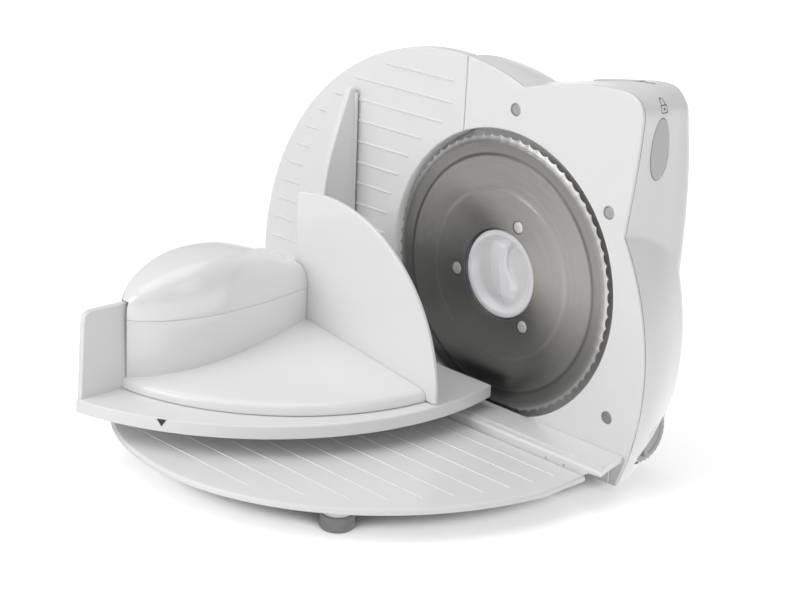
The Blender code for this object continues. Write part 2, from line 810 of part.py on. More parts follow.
def face_screw(x, z):
    """Sunk screw with a round driver recess."""
    head_back = HEAD_SINK + HEAD_DEPTH
    body = rod("y", (x, z), HEAD_RADIUS, HEAD_SINK, head_back)
    add(body, rod("y", (x, z), SCREW_RADIUS, HEAD_SINK + DRIVE_DEPTH, SCREW_LENGTH, ROUND_STEPS))
    cut(body, rod("y", (x, z), DRIVE_RADIUS, HEAD_SINK - OVERRUN, HEAD_SINK + DRIVE_DEPTH,
                  DRIVE_SIDE_COUNT))
    return body


def blade():
    """Round blade with a scalloped edge, a bevel ring and a dished middle."""
    count = SCALLOP_COUNT * SCALLOP_POINT_COUNT
    back = BLADE_FACE_Y + BLADE_THICKNESS
    edge = BLADE_RADIUS - SCALLOP_DEPTH
    bevel = BLADE_RADIUS - BEVEL_RING
    groove = bevel - GROOVE_WIDTH
    dish = BLADE_FACE_Y + DISH_DEPTH
    levels = [
        (BLADE_BORE, BLADE_FACE_Y),
        (groove, BLADE_FACE_Y),
        (groove, dish),
        (bevel, dish),
        (bevel, BLADE_FACE_Y),
        (None, back),
        (BLADE_BORE, back),
    ]
    vertices = []
    for step in range(count):
        angle = math.radians(SCALLOP_START_ANGLE) + 2 * math.pi * step / count
        wave = abs(math.sin(math.pi * (step % SCALLOP_POINT_COUNT) / SCALLOP_POINT_COUNT))
        for radius, level in levels:
            reach = edge + SCALLOP_DEPTH * (1 - wave) if radius is None else radius
            vertices.append((reach * math.cos(angle), level, reach * math.sin(angle)))
    rows = len(levels)
    faces = []
    for step in range(count):
        here = step * rows
        there = ((step + 1) % count) * rows
        for row in range(rows):
            after = (row + 1) % rows
            faces.append([here + row, here + after, there + after, there + row])
    body = body_from(vertices, faces)
    for angle in BLADE_HOLE_ANGLES:
        cut(body, rod("y", polar(BLADE_HOLE_CIRCLE, angle), BLADE_HOLE_RADIUS, -OVERRUN,
                      back + OVERRUN))
    return body


def blade_carrier():
    """Cup-shaped carrier that takes the blade and the gear."""
    back = CARRIER_FACE_Y + CARRIER_THICKNESS
    bore = AXLE_RADIUS + FIT
    gear_back = GEAR_Y + GEAR_WIDTH / 2
    profile = [
        (CARRIER_RADIUS, CARRIER_FACE_Y),
        (CARRIER_RADIUS, back),
        (CUP_RADIUS + CUP_WALL, back),
        (CUP_RADIUS + CUP_WALL, CUP_BACK_Y),
        (HUB_RADIUS, CUP_BACK_Y),
        (HUB_RADIUS, gear_back),
        (bore, gear_back),
        (bore, CUP_FLOOR_Y),
        (CUP_RADIUS, CUP_FLOOR_Y),
        (CUP_RADIUS, CARRIER_FACE_Y),
    ]
    body = lathe("y", (0, 0), profile, FINE_STEPS)
    for angle in BLADE_HOLE_ANGLES:
        add(body, rod("y", polar(BLADE_HOLE_CIRCLE, angle), PIN_RADIUS,
                      BLADE_FACE_Y + FIT, CARRIER_FACE_Y + PLAY))
    return body


def gear_outline(teeth, module, shrink, extra_root):
    """Outline of a spur gear with straight-sided teeth."""
    pitch = teeth * module / 2
    tip = pitch + module
    root = pitch - module - extra_root
    quarter = math.pi / (2 * teeth)
    slope = math.tan(math.radians(PRESSURE_ANGLE))
    points = []
    for tooth in range(teeth):
        middle = 2 * math.pi * tooth / teeth
        for radius, side in ((root, -1), (pitch, -1), (tip, -1), (tip, 1), (pitch, 1), (root, 1)):
            half = quarter - shrink / (2 * pitch) - (radius - pitch) * slope / pitch
            half = max(half, quarter * TOOTH_TIP_SHARE)
            angle = middle + side * half
            points.append((radius * math.cos(angle), radius * math.sin(angle)))
    return points


def worm_gear():
    """Moulded gear with slanted teeth that meets the worm."""
    lead = math.atan(GEAR_MODULE / (2 * WORM_PITCH_RADIUS))
    pitch = GEAR_TEETH * GEAR_MODULE / 2
    outline = gear_outline(GEAR_TEETH, GEAR_MODULE, TOOTH_BACKLASH, GEAR_ROOT_EXTRA)
    rings = []
    for share in (-0.5, 0.5):
        level = GEAR_WIDTH * share
        turn = -WORM_HAND * level * math.tan(lead) / pitch
        cosine = math.cos(turn)
        sine = math.sin(turn)
        rings.append([(x * cosine - z * sine, GEAR_Y + level, x * sine + z * cosine)
                      for x, z in outline])
    body = loft(rings)
    inner = pitch - GEAR_MODULE - GEAR_RIM
    hollow = (GEAR_WIDTH - GEAR_WEB) / 2
    for low, high in ((-OVERRUN - GEAR_WIDTH, -GEAR_WIDTH / 2 + hollow),
                      (GEAR_WIDTH / 2 - hollow, GEAR_WIDTH + OVERRUN)):
        profile = [
            (inner, GEAR_Y + low),
            (inner, GEAR_Y + high),
            (HUB_RADIUS + GEAR_WEB, GEAR_Y + high),
            (HUB_RADIUS + GEAR_WEB, GEAR_Y + low),
        ]
        cut(body, lathe("y", (0, 0), profile, FINE_STEPS))
    cut(body, rod("y", (0, 0), HUB_RADIUS + FIT, GEAR_Y - GEAR_WIDTH, GEAR_Y + GEAR_WIDTH,
                  FINE_STEPS))
    return body


def worm():
    """Screw thread that turns the gear."""
    pitch = math.pi * GEAR_MODULE
    tip = WORM_PITCH_RADIUS + GEAR_MODULE - ROOT_CLEARANCE
    root = WORM_PITCH_RADIUS - GEAR_MODULE - ROOT_CLEARANCE
    slope = math.tan(math.radians(PRESSURE_ANGLE))
    turns = int(WORM_LENGTH / pitch)
    total = turns * WORM_STEPS
    span = turns * pitch
    half_tip = pitch / 4 - TOOTH_BACKLASH / 2 - (tip - WORM_PITCH_RADIUS) * slope
    half_root = pitch / 4 - TOOTH_BACKLASH / 2 + (WORM_PITCH_RADIUS - root) * slope
    deep = root - GEAR_MODULE / 2
    rings = []
    for step in range(total + 1):
        angle = 2 * math.pi * step / WORM_STEPS
        level = -span / 2 + pitch * (step / WORM_STEPS + WORM_PHASE_SHARE)
        turn = WORM_HAND * angle
        ring = []
        for radius, rise in ((deep, -half_root), (root, -half_root), (tip, -half_tip),
                             (tip, half_tip), (root, half_root), (deep, half_root)):
            ring.append((MOTOR_X + radius * math.cos(turn), GEAR_Y + radius * math.sin(turn),
                         level + rise))
        rings.append(ring)
    body = loft(rings)
    core = rod("z", (MOTOR_X, GEAR_Y), root, -span / 2 - pitch / 2, span / 2 + pitch)
    add(body, core)
    cut(body, rod("z", (MOTOR_X, GEAR_Y), SHAFT_RADIUS + FIT, -WORM_LENGTH, WORM_LENGTH))
    return body


def blade_knob():
    """Recessed locking knob with a finger bar."""
    floor = KNOB_FACE_Y + KNOB_DISH
    body = rod("y", (0, 0), KNOB_RADIUS, KNOB_FACE_Y, KNOB_BACK_Y, FINE_STEPS)
    cut(body, rod("y", (0, 0), KNOB_RADIUS - KNOB_RIM, KNOB_FACE_Y - OVERRUN, floor, FINE_STEPS))
    bar = prism("y", oval(KNOB_BAR_LENGTH / 2, KNOB_BAR_WIDTH / 2), KNOB_BAR_FACE_Y,
                floor + FIT)
    add(body, bar)
    add(body, rod("y", (0, 0), KNOB_STEM_RADIUS, floor + FIT, KNOB_STEM_END_Y))
    return body


def gear_plate():
    """Bent plate that carries the axle and the motor."""
    back = PLATE_Y + PLATE_THICKNESS
    body = box(PLATE_LEFT, PLATE_RIGHT, PLATE_Y, back, -PLATE_HALF_HEIGHT, PLATE_HALF_HEIGHT)
    add(body, box(PLATE_RIGHT - OVERRUN, ARM_RIGHT, PLATE_Y, back,
                  LOW_TAB_Z - TAB_THICKNESS, TAB_TOP_Z))
    add(body, box(MOTOR_X - CAN_RADIUS, MOTOR_X + CAN_RADIUS, TAB_FRONT_Y, back,
                  TAB_TOP_Z - TAB_THICKNESS, TAB_TOP_Z))
    add(body, box(MOTOR_X - LOW_TAB_HALF, MOTOR_X + LOW_TAB_HALF, LOW_TAB_FRONT_Y,
                  PLATE_Y + PLATE_THICKNESS / 2, LOW_TAB_Z - TAB_THICKNESS, LOW_TAB_Z))
    cut(body, rod("z", (MOTOR_X, GEAR_Y), SHAFT_RADIUS + FIT, LOW_TAB_Z - OVERRUN - TAB_THICKNESS,
                  LOW_TAB_Z + OVERRUN))
    cut(body, rod("z", (MOTOR_X, GEAR_Y), MOTOR_HOLE_RADIUS, TAB_TOP_Z - TAB_THICKNESS - OVERRUN,
                  TAB_TOP_Z + OVERRUN))
    cut(body, rod("z", (MOTOR_X, GEAR_Y), CAN_RADIUS + PLAY, TAB_TOP_Z, DISC_RADIUS))
    cut(body, rod("y", (0, 0), AXLE_RADIUS + FIT, PLATE_Y - OVERRUN, back + OVERRUN))
    for angle in PILLAR_ANGLES:
        cut(body, rod("y", polar(PILLAR_CIRCLE, angle), PILLAR_BORE + FIT, PLATE_Y - OVERRUN,
                      back + OVERRUN))
    return body


def plate_screw(x, z):
    """Short screw that holds the gear plate on a pillar."""
    back = PLATE_Y + PLATE_THICKNESS + FIT
    body = rod("y", (x, z), HEAD_RADIUS, back, back + HEAD_DEPTH)
    add(body, rod("y", (x, z), PILLAR_BORE - FIT, PLATE_Y - SCREW_LENGTH / 2, back + FIT))
    return body


def axle():
    """Fixed pin that the blade carrier turns on."""
    body = rod("y", (0, 0), AXLE_RADIUS, AXLE_FRONT_Y, AXLE_BACK_Y)
    collar_front = PLATE_Y + PLATE_THICKNESS + FIT
    add(body, rod("y", (0, 0), AXLE_RADIUS + CAN_WALL, collar_front, AXLE_BACK_Y + HEAD_DEPTH))
    return body


def motor_can():
    """Drawn motor can with cooling windows."""
    inner = CAN_RADIUS - CAN_WALL
    body = rod("z", (MOTOR_X, GEAR_Y), CAN_RADIUS, CAN_BOTTOM_Z, CAN_TOP_Z, FINE_STEPS)
    cut(body, rod("z", (MOTOR_X, GEAR_Y), inner, CAN_BOTTOM_Z + CAN_WALL, CAN_TOP_Z + OVERRUN,
                  FINE_STEPS))
    cut(body, rod("z", (MOTOR_X, GEAR_Y), MOTOR_HOLE_RADIUS, CAN_BOTTOM_Z - OVERRUN,
                  CAN_BOTTOM_Z + CAN_WALL + OVERRUN))
    cut(body, box(MOTOR_X - DISC_RADIUS, MOTOR_X + DISC_RADIUS, GEAR_Y - WINDOW_WIDTH / 2,
                  GEAR_Y + WINDOW_WIDTH / 2, FAN_BOTTOM_Z, FAN_BOTTOM_Z + WINDOW_HEIGHT))
    return body


def magnet(side):
    """Curved magnet on one side of the can."""
    outer = CAN_RADIUS - CAN_WALL - FIT
    inner = outer - MAGNET_THICKNESS
    steps = ROUND_STEPS // 2
    half = math.radians(MAGNET_ANGLE / 2)
    facing = 0 if side > 0 else math.pi
    outline = []
    for radius, order in ((outer, range(steps + 1)), (inner, range(steps, -1, -1))):
        for step in order:
            angle = facing - half + 2 * half * step / steps
            outline.append((MOTOR_X + radius * math.cos(angle), GEAR_Y + radius * math.sin(angle)))
    return prism("z", outline, MAGNET_BOTTOM_Z, MAGNET_TOP_Z)


def motor_cap():
    """End cap that closes the motor can."""
    low = CAN_TOP_Z + FIT
    body = rod("z", (MOTOR_X, GEAR_Y), CAN_RADIUS, low, low + CAP_HEIGHT, FINE_STEPS)
    add(body, rod("z", (MOTOR_X, GEAR_Y), CAN_RADIUS - CAN_WALL - FIT, low - CAN_WALL,
                  low + CAN_WALL, FINE_STEPS))
    cut(body, rod("z", (MOTOR_X, GEAR_Y), SHAFT_RADIUS + FIT, low - OVERRUN,
                  SHAFT_TOP_Z + FIT))
    return body


def brush(side):
    """Carbon brush that presses on the commutator."""
    near = COMMUTATOR_RADIUS + FIT
    far = CAN_RADIUS - CAN_WALL - PLAY
    low, high = sorted((MOTOR_X + side * near, MOTOR_X + side * far))
    middle = (COMMUTATOR_BOTTOM_Z + COMMUTATOR_TOP_Z) / 2
    return box(low, high, GEAR_Y - BRUSH_WIDTH / 2, GEAR_Y + BRUSH_WIDTH / 2,
               middle - BRUSH_HEIGHT / 2, middle + BRUSH_HEIGHT / 2)


def motor_shaft():
    """Steel shaft through the worm, the fan and the armature."""
    return rod("z", (MOTOR_X, GEAR_Y), SHAFT_RADIUS, SHAFT_BOTTOM_Z, SHAFT_TOP_Z)


def armature():
    """Slotted iron core of the rotor."""
    body = rod("z", (MOTOR_X, GEAR_Y), ARMATURE_RADIUS, ARMATURE_BOTTOM_Z, ARMATURE_TOP_Z,
               FINE_STEPS)
    for pole in range(ARMATURE_POLES):
        angle = 2 * math.pi * pole / ARMATURE_POLES
        along = Vector((math.cos(angle), math.sin(angle)))
        across = Vector((-along.y, along.x)) * (SLOT_WIDTH / 2)
        centre = Vector((MOTOR_X, GEAR_Y))
        near = centre + along * (ARMATURE_RADIUS - SLOT_DEPTH)
        far = centre + along * (ARMATURE_RADIUS + OVERRUN)
        outline = [near - across, far - across, far + across, near + across]
        cut(body, prism("z", outline, ARMATURE_BOTTOM_Z - OVERRUN, ARMATURE_TOP_Z + OVERRUN))
    cut(body, rod("z", (MOTOR_X, GEAR_Y), SHAFT_RADIUS + FIT, ARMATURE_BOTTOM_Z - OVERRUN,
                  ARMATURE_TOP_Z + OVERRUN))
    return body


def commutator():
    """Copper ring that the brushes press on."""
    bore = SHAFT_RADIUS + FIT
    profile = [
        (bore, COMMUTATOR_BOTTOM_Z),
        (COMMUTATOR_RADIUS, COMMUTATOR_BOTTOM_Z),
        (COMMUTATOR_RADIUS, COMMUTATOR_TOP_Z),
        (bore, COMMUTATOR_TOP_Z),
    ]
    return lathe("z", (MOTOR_X, GEAR_Y), profile, ROUND_STEPS)


def cooling_fan():
    """Small fan on the motor shaft."""
    top = FAN_BOTTOM_Z + FAN_HEIGHT
    body = rod("z", (MOTOR_X, GEAR_Y), FAN_RADIUS, FAN_BOTTOM_Z, FAN_BOTTOM_Z + FAN_DISC,
               FINE_STEPS)
    add(body, rod("z", (MOTOR_X, GEAR_Y), FAN_HUB_RADIUS, FAN_BOTTOM_Z + FAN_DISC / 2, top))
    for index in range(FAN_BLADES):
        angle = 2 * math.pi * index / FAN_BLADES
        along = Vector((math.cos(angle), math.sin(angle)))
        across = Vector((-along.y, along.x)) * (FAN_BLADE_WIDTH / 2)
        centre = Vector((MOTOR_X, GEAR_Y))
        near = centre + along * (FAN_HUB_RADIUS - FAN_BLADE_WIDTH)
        far = centre + along * (FAN_RADIUS - FAN_BLADE_WIDTH)
        outline = [near - across, far - across, far + across, near + across]
        add(body, prism("z", outline, FAN_BOTTOM_Z + FAN_DISC / 2, top - FAN_DISC / 2))
    cut(body, rod("z", (MOTOR_X, GEAR_Y), SHAFT_RADIUS + FIT, FAN_BOTTOM_Z - OVERRUN,
                  top + OVERRUN))
    return body


def switch_block():
    """Main switch under the power slide."""
    low = CAN_TOP_Z + CAP_HEIGHT + 2 * FIT
    body = box(SWITCH_LEFT_X, SWITCH_RIGHT_X, GEAR_Y - SWITCH_BLOCK_LENGTH / 2,
               GEAR_Y + SWITCH_BLOCK_LENGTH / 2, low, low + SWITCH_BLOCK_HEIGHT)
    return body


def tilt_about_y(body, angle, pivot_x, pivot_z):
    """Lean a body about an axis along Y."""
    cosine = math.cos(angle)
    sine = math.sin(angle)
    for vertex in body.data.vertices:
        x = vertex.co.x - pivot_x
        z = vertex.co.z - pivot_z
        vertex.co.x = pivot_x + x * cosine - z * sine
        vertex.co.z = pivot_z + x * sine + z * cosine
    return body


def power_slide():
    """Oval slide cap with its stem and inner foot."""
    low = SLIDE_SURFACE_Z + PLAY
    rings = []
    for share, inset in SLIDE_CROWN_SHARES:
        outline = oval(SLIDE_HALF_LENGTH * (1 - inset), SLIDE_HALF_WIDTH * (1 - inset),
                       (SLIDE_X, SLIDE_Y))
        rings.append([(x, y, low + SLIDE_HEIGHT * share) for x, y in outline])
    body = loft(rings)
    foot_top = SLIDE_SURFACE_Z - SLIDE_STEM_DROP + SLIDE_FOOT_THICKNESS
    add(body, box(SLIDE_X - SLIDE_STEM_LENGTH / 2 + PLAY, SLIDE_X + SLIDE_STEM_LENGTH / 2 - PLAY,
                  SLIDE_Y - SLIDE_STEM_WIDTH / 2, SLIDE_Y + SLIDE_STEM_WIDTH / 2,
                  foot_top - SLIDE_FOOT_THICKNESS / 2, low + SLIDE_HEIGHT / 2))
    add(body, box(SLIDE_X - SLIDE_FOOT_LENGTH / 2, SLIDE_X + SLIDE_FOOT_LENGTH / 2,
                  SLIDE_Y - SLIDE_FOOT_WIDTH / 2, SLIDE_Y + SLIDE_FOOT_WIDTH / 2,
                  foot_top - SLIDE_FOOT_THICKNESS, foot_top))
    return tilt_about_y(body, SLIDE_TILT, SLIDE_X, SLIDE_SURFACE_Z)


def lock_button():
    """Oval lock button with a flange behind the side wall."""
    rings = []
    spans = (
        (LOCK_FLANGE_X - LOCK_FLANGE_THICKNESS, LOCK_FLANGE),
        (LOCK_FLANGE_X, LOCK_FLANGE),
        (LOCK_FLANGE_X, 0),
        (LOCK_OUT_X - PANEL_BEVEL, 0),
        (LOCK_OUT_X, -PANEL_BEVEL),
    )
    for level, grow in spans:
        outline = oval(LOCK_HALF_WIDTH + grow, LOCK_HALF_HEIGHT + grow, (LOCK_Y, LOCK_Z))
        rings.append([(level + (z - LOCK_Z) * LOCK_LEAN, y, z) for y, z in outline])
    return loft(rings)


def thickness_dial():
    """Ridged setting dial with a raised grip bar."""
    outline = []
    for step in range(DIAL_RIDGES * 2):
        radius = DIAL_RADIUS - DIAL_RIDGE_DEPTH * (step % 2)
        angle = math.pi * step / DIAL_RIDGES
        outline.append((DIAL_Y + radius * math.cos(angle), DIAL_Z + radius * math.sin(angle)))
    body = prism("x", outline, DIAL_IN_X, DIAL_OUT_X)
    bar = prism("x", oval(DIAL_GRIP_WIDTH / 2, DIAL_RADIUS - DIAL_GRIP_WIDTH / 2,
                          (DIAL_Y, DIAL_Z)), DIAL_OUT_X - PLAY, DIAL_OUT_X + DIAL_GRIP_HEIGHT)
    add(body, bar)
    cut(body, rod("x", (DIAL_Y, DIAL_Z), SHAFT_ROD_RADIUS + FIT, DIAL_IN_X - OVERRUN,
                  DIAL_OUT_X - DIAL_GRIP_HEIGHT))
    return body


def dial_shaft():
    """Long rod from the dial to the pinion."""
    return rod("x", (DIAL_Y, DIAL_Z), SHAFT_ROD_RADIUS, SHAFT_LEFT_X,
               DIAL_OUT_X - DIAL_GRIP_HEIGHT - FIT)


def dial_pinion():
    """Small pinion that moves the rack of the stop plate."""
    outline = gear_outline(PINION_TEETH, PINION_MODULE, TOOTH_BACKLASH, ROOT_CLEARANCE)
    turn = -math.pi / 2
    cosine = math.cos(turn)
    sine = math.sin(turn)
    moved = [(DIAL_Y + u * cosine - v * sine, DIAL_Z + u * sine + v * cosine)
             for u, v in outline]
    body = prism("x", moved, PINION_LEFT_X, PINION_RIGHT_X)
    cut(body, rod("x", (DIAL_Y, DIAL_Z), SHAFT_ROD_RADIUS + FIT, PINION_LEFT_X - OVERRUN,
                  PINION_RIGHT_X + OVERRUN))
    return body


def stop_outline(inset):
    """Outline of the stop plate, counter-clockwise from the front."""
    disc = DISC_RADIUS - inset
    well = WELL_RADIUS + inset
    right = SEAM_X - STOP_GAP - inset
    bottom = STOP_BOTTOM_Z + inset
    first = math.acos((right - DISC_X) / disc)
    last = math.pi - math.asin((bottom - DISC_Z) / disc)
    arc = disc_arc(disc, first, last, STOP_ARC_STEPS)
    low = -math.pi + math.asin(-bottom / well)
    high = -2 * math.pi + math.acos(right / well)
    inner = []
    for step in range(WELL_ARC_STEPS + 1):
        angle = low + (high - low) * step / WELL_ARC_STEPS
        inner.append((well * math.cos(angle), well * math.sin(angle)))
    return arc + inner


def stop_plate():
    """Ribbed plate that sets the slice thickness."""
    levels = [
        (0, STOP_BEVEL),
        (STOP_BEVEL, 0),
        (STOP_SKIRT, 0),
        (STOP_SKIRT, STOP_WALL),
        (STOP_THICKNESS, STOP_WALL),
    ]
    body = loft([[(x, level, z) for x, z in stop_outline(inset)] for level, inset in levels])
    for index in range(STOP_RIB_COUNT):
        z = STOP_RIB_TOP_Z - STOP_RIB_PITCH * index
        left = DISC_X - math.sqrt(STOP_RIB_DISC_RADIUS ** 2 - (z - DISC_Z) ** 2)
        right = STOP_RIB_RIGHT_X
        if abs(z) < STOP_RIB_WELL_RADIUS:
            right = min(right, -math.sqrt(STOP_RIB_WELL_RADIUS ** 2 - z * z))
        add(body, box(left, right, -STOP_RIB_HEIGHT, STOP_BEVEL, z - STOP_RIB_WIDTH / 2,
                      z + STOP_RIB_WIDTH / 2))
    cut(body, box(DISC_X - DISC_RADIUS, SEAM_X, STOP_THICKNESS, STOP_SKIRT + OVERRUN,
                  STOP_BOTTOM_Z - OVERRUN, UPRIGHT_TOP_Z + FIT))
    return body


def slider_rods():
    """X positions of the two guide rods."""
    return [SLIDER_LEFT_X + (SLIDER_RIGHT_X - SLIDER_LEFT_X) * share for share in ROD_SHARES]


def rod_height():
    """Height of the guide rods inside the slider."""
    return (SLIDER_TOP_Z + SLIDER_BOTTOM_Z) / 2


def stop_slider():
    """Slider with a rack that carries the stop plate on two rods."""
    body = box(SLIDER_LEFT_X, SLIDER_RIGHT_X, SLIDER_FRONT_Y, SLIDER_BACK_Y, SLIDER_BOTTOM_Z,
               SLIDER_TOP_Z)
    add(body, box(SLIDER_LEFT_X, UPRIGHT_RIGHT_X, SLIDER_FRONT_Y,
                  SLIDER_FRONT_Y + UPRIGHT_THICKNESS, SLIDER_TOP_Z - PLAY, UPRIGHT_TOP_Z))
    pitch = math.pi * PINION_MODULE
    pitch_z = DIAL_Z - PINION_TEETH * PINION_MODULE / 2
    root = pitch_z - PINION_MODULE - ROOT_CLEARANCE
    tip = pitch_z + PINION_MODULE
    slope = math.tan(math.radians(PRESSURE_ANGLE))
    half_tip = pitch / 4 - TOOTH_BACKLASH / 2 - (tip - pitch_z) * slope
    half_root = pitch / 4 - TOOTH_BACKLASH / 2 + (pitch_z - root) * slope
    for index in range(RACK_TEETH):
        y = DIAL_Y + pitch * (0.5 + index - RACK_LEAD)
        outline = [(y - half_root, root - PINION_MODULE), (y - half_root, root),
                   (y - half_tip, tip), (y + half_tip, tip), (y + half_root, root),
                   (y + half_root, root - PINION_MODULE)]
        add(body, prism("x", outline, PINION_LEFT_X - PLAY, PINION_RIGHT_X))
    for x in slider_rods():
        cut(body, rod("y", (x, rod_height()), ROD_RADIUS + FIT, SLIDER_FRONT_Y - OVERRUN,
                      SLIDER_BACK_Y + OVERRUN))
    return body


def guide_rod(x):
    """Steel rod that the stop slider runs on."""
    return rod("y", (x, rod_height()), ROD_RADIUS, ROD_FRONT_Y, ROD_BACK_Y)


def rail_outline():
    """Plan of the rail, counter-clockwise from above."""
    half = scaled(RAIL_HALF_SHARES, DISC_RADIUS)
    right = [(DISC_X + x, y) for x, y in half]
    left = [(DISC_X - x, y) for x, y in half]
    return left + right[::-1]


def base():
    """Base with the carriage rail, the rear deck and the hinge knuckles."""
    outline = rail_outline()
    body = prism("z", outline, BASE_BOTTOM_Z, RAIL_TOP_Z)
    corner = prism("x", [(RAIL_FRONT_Y - OVERRUN, RAIL_TOP_Z - SHOULDER - OVERRUN),
                         (RAIL_FRONT_Y + SHOULDER + OVERRUN, RAIL_TOP_Z + OVERRUN),
                         (RAIL_FRONT_Y - OVERRUN, RAIL_TOP_Z + OVERRUN)],
                   DISC_X - DISC_RADIUS, DISC_X + DISC_RADIUS)
    cut(body, corner)
    inner = offset_loop(outline, BASE_WALL)
    cut(body, prism("z", inner, BASE_BOTTOM_Z - OVERRUN, RAIL_TOP_Z - BASE_WALL))
    deck_right = SEAM_X - FIT
    deck = box(DECK_LEFT_X, deck_right, -FIT - BASE_WALL, DECK_BACK_Y, BASE_BOTTOM_Z, DECK_TOP_Z)
    add(deck, box(LUG_LEFT_X, LUG_RIGHT_X, DECK_BACK_Y - LUG_WALL, DECK_BACK_Y,
                  DECK_TOP_Z - PLAY, LUG_TOP_Z))
    cut(deck, box(DECK_LEFT_X + BASE_WALL, deck_right - BASE_WALL, 0,
                  DECK_BACK_Y - BASE_WALL, BASE_BOTTOM_Z - OVERRUN, DECK_TOP_Z - BASE_WALL))
    add(body, deck)
    ridge_half = scaled(RAIL_HALF_SHARES, DISC_RADIUS)[1][0]
    add(body, box(DISC_X - ridge_half, DISC_X + ridge_half, RIDGE_Y - RIDGE_WIDTH / 2,
                  RIDGE_Y + RIDGE_WIDTH / 2, RAIL_TOP_Z - PLAY, RAIL_TOP_Z + RIDGE_HEIGHT))
    for x, y in base_feet():
        top = FOOT_BOSS_TOP_Z if y < 0 else DECK_TOP_Z - PLAY
        add(body, rod("z", (x, y), FOOT_RADIUS - BASE_WALL / 2, BASE_BOTTOM_Z, top))
        cut(body, rod("z", (x, y), FOOT_BORE, BASE_BOTTOM_Z - OVERRUN,
                      BASE_BOTTOM_Z + FOOT_STEM_LENGTH + PLAY))
    for x in hinge_centres():
        add(body, knuckle(x - KNUCKLE_WIDTH / 2, x + KNUCKLE_WIDTH / 2, RAIL_FRONT_Y + FIT))
        cut(body, rod("x", (HINGE_Y, HINGE_Z), HINGE_PIN_RADIUS + FIT, x - KNUCKLE_WIDTH,
                      x + KNUCKLE_WIDTH))
    for x in slider_rods():
        cut(body, rod("y", (x, rod_height()), ROD_RADIUS + FIT, ROD_FRONT_Y - FIT,
                      DECK_BACK_Y - PLAY))
    return body


def base_feet():
    """Plan positions of the three feet under the base."""
    return [(LEFT_FOOT_X, FRONT_FOOT_Y), (RIGHT_FOOT_X, FRONT_FOOT_Y), (LEFT_FOOT_X, DECK_FOOT_Y)]


def hinge_centres():
    """X positions of the two table hinges."""
    return [TABLE_X + TABLE_HALF_LENGTH * share for share in HINGE_SHARES]


def knuckle(x_low, x_high, root_y):
    """Rounded hinge knuckle that reaches back to its carrier."""
    body = rod("x", (HINGE_Y, HINGE_Z), KNUCKLE_RADIUS, x_low, x_high)
    add(body, box(x_low, x_high, HINGE_Y, root_y, HINGE_Z - KNUCKLE_RADIUS,
                  HINGE_Z + KNUCKLE_RADIUS))
    return body


def foot(x, y, radius, top):
    """Rubber foot with a stem in its boss."""
    low = -BLADE_HEIGHT
    rings = []
    for level, share in ((low, FOOT_TAPER_SHARE), (low + FOOT_CHAMFER, 1), (top - FIT, 1)):
        rings.append([(u, v, level) for u, v in circle(radius * share, ROUND_STEPS, (x, y))])
    body = loft(rings)
    add(body, rod("z", (x, y), FOOT_STEM, top - FIT - PLAY, top + FOOT_STEM_LENGTH))
    return body


def table_outline(inset):
    """Half-round plan of the folding table, counter-clockwise."""
    half = TABLE_HALF_LENGTH - inset
    reach = TABLE_REACH - inset
    back = TABLE_BACK_Y - inset
    start = math.asin((TABLE_CENTRE_Y - back) / reach) if back < TABLE_CENTRE_Y else 0
    points = []
    for step in range(TABLE_STEPS + 1):
        angle = math.pi + start + (math.pi - 2 * start) * step / TABLE_STEPS
        points.append((TABLE_X + half * math.cos(angle), TABLE_CENTRE_Y + reach * math.sin(angle)))
    if back > TABLE_CENTRE_Y:
        points.append((TABLE_X + half, back))
        points.append((TABLE_X - half, back))
    return points


def table():
    """Folding table with ribs, hinge ears and foot bosses."""
    shell = loft([
        [(x, y, TABLE_RIM_Z) for x, y in table_outline(0)],
        [(x, y, TABLE_TOP_Z - TABLE_BEVEL) for x, y in table_outline(0)],
        [(x, y, TABLE_TOP_Z) for x, y in offset_loop(table_outline(0), TABLE_BEVEL)],
    ])
    hollow = prism("z", offset_loop(table_outline(0), TABLE_RIM_WALL), TABLE_RIM_Z - OVERRUN,
                   TABLE_TOP_Z - TABLE_THICKNESS)
    body = cut(shell, hollow)
    for index in range(TABLE_RIB_COUNT):
        y = TABLE_RIB_FIRST_Y - TABLE_RIB_PITCH * index
        share = (y - TABLE_CENTRE_Y) / (TABLE_REACH - TABLE_RIB_INSET)
        half = (TABLE_HALF_LENGTH - TABLE_RIB_INSET) * math.sqrt(max(1 - share * share, 0))
        add(body, box(TABLE_X - half, TABLE_X + half, y - TABLE_RIB_WIDTH / 2,
                      y + TABLE_RIB_WIDTH / 2, TABLE_TOP_Z - PLAY, TABLE_TOP_Z + TABLE_RIB_HEIGHT))
    for x in table_feet():
        add(body, rod("z", (x, TABLE_FOOT_Y), TABLE_FOOT_RADIUS - BASE_WALL / 2, TABLE_FOOT_TOP_Z,
                      TABLE_TOP_Z - TABLE_BEVEL))
        cut(body, rod("z", (x, TABLE_FOOT_Y), FOOT_BORE, TABLE_FOOT_TOP_Z - OVERRUN,
                      TABLE_FOOT_TOP_Z + FOOT_STEM_LENGTH + PLAY))
    for x in hinge_centres():
        for side in (-1, 1):
            middle = x + side * (KNUCKLE_WIDTH / 2 + PLAY + EAR_WIDTH / 2)
            ear = rod("x", (HINGE_Y, HINGE_Z), KNUCKLE_RADIUS - PLAY, middle - EAR_WIDTH / 2,
                      middle + EAR_WIDTH / 2)
            ear_half = KNUCKLE_RADIUS - PLAY
            add(ear, box(middle - EAR_WIDTH / 2, middle + EAR_WIDTH / 2,
                         HINGE_Y - 2 * ear_half, HINGE_Y, HINGE_Z - ear_half / 2,
                         TABLE_TOP_Z - TABLE_BEVEL))
            add(body, ear)
        cut(body, rod("x", (HINGE_Y, HINGE_Z), HINGE_PIN_RADIUS + FIT, x - HINGE_PIN_LENGTH,
                      x + HINGE_PIN_LENGTH))
    return body


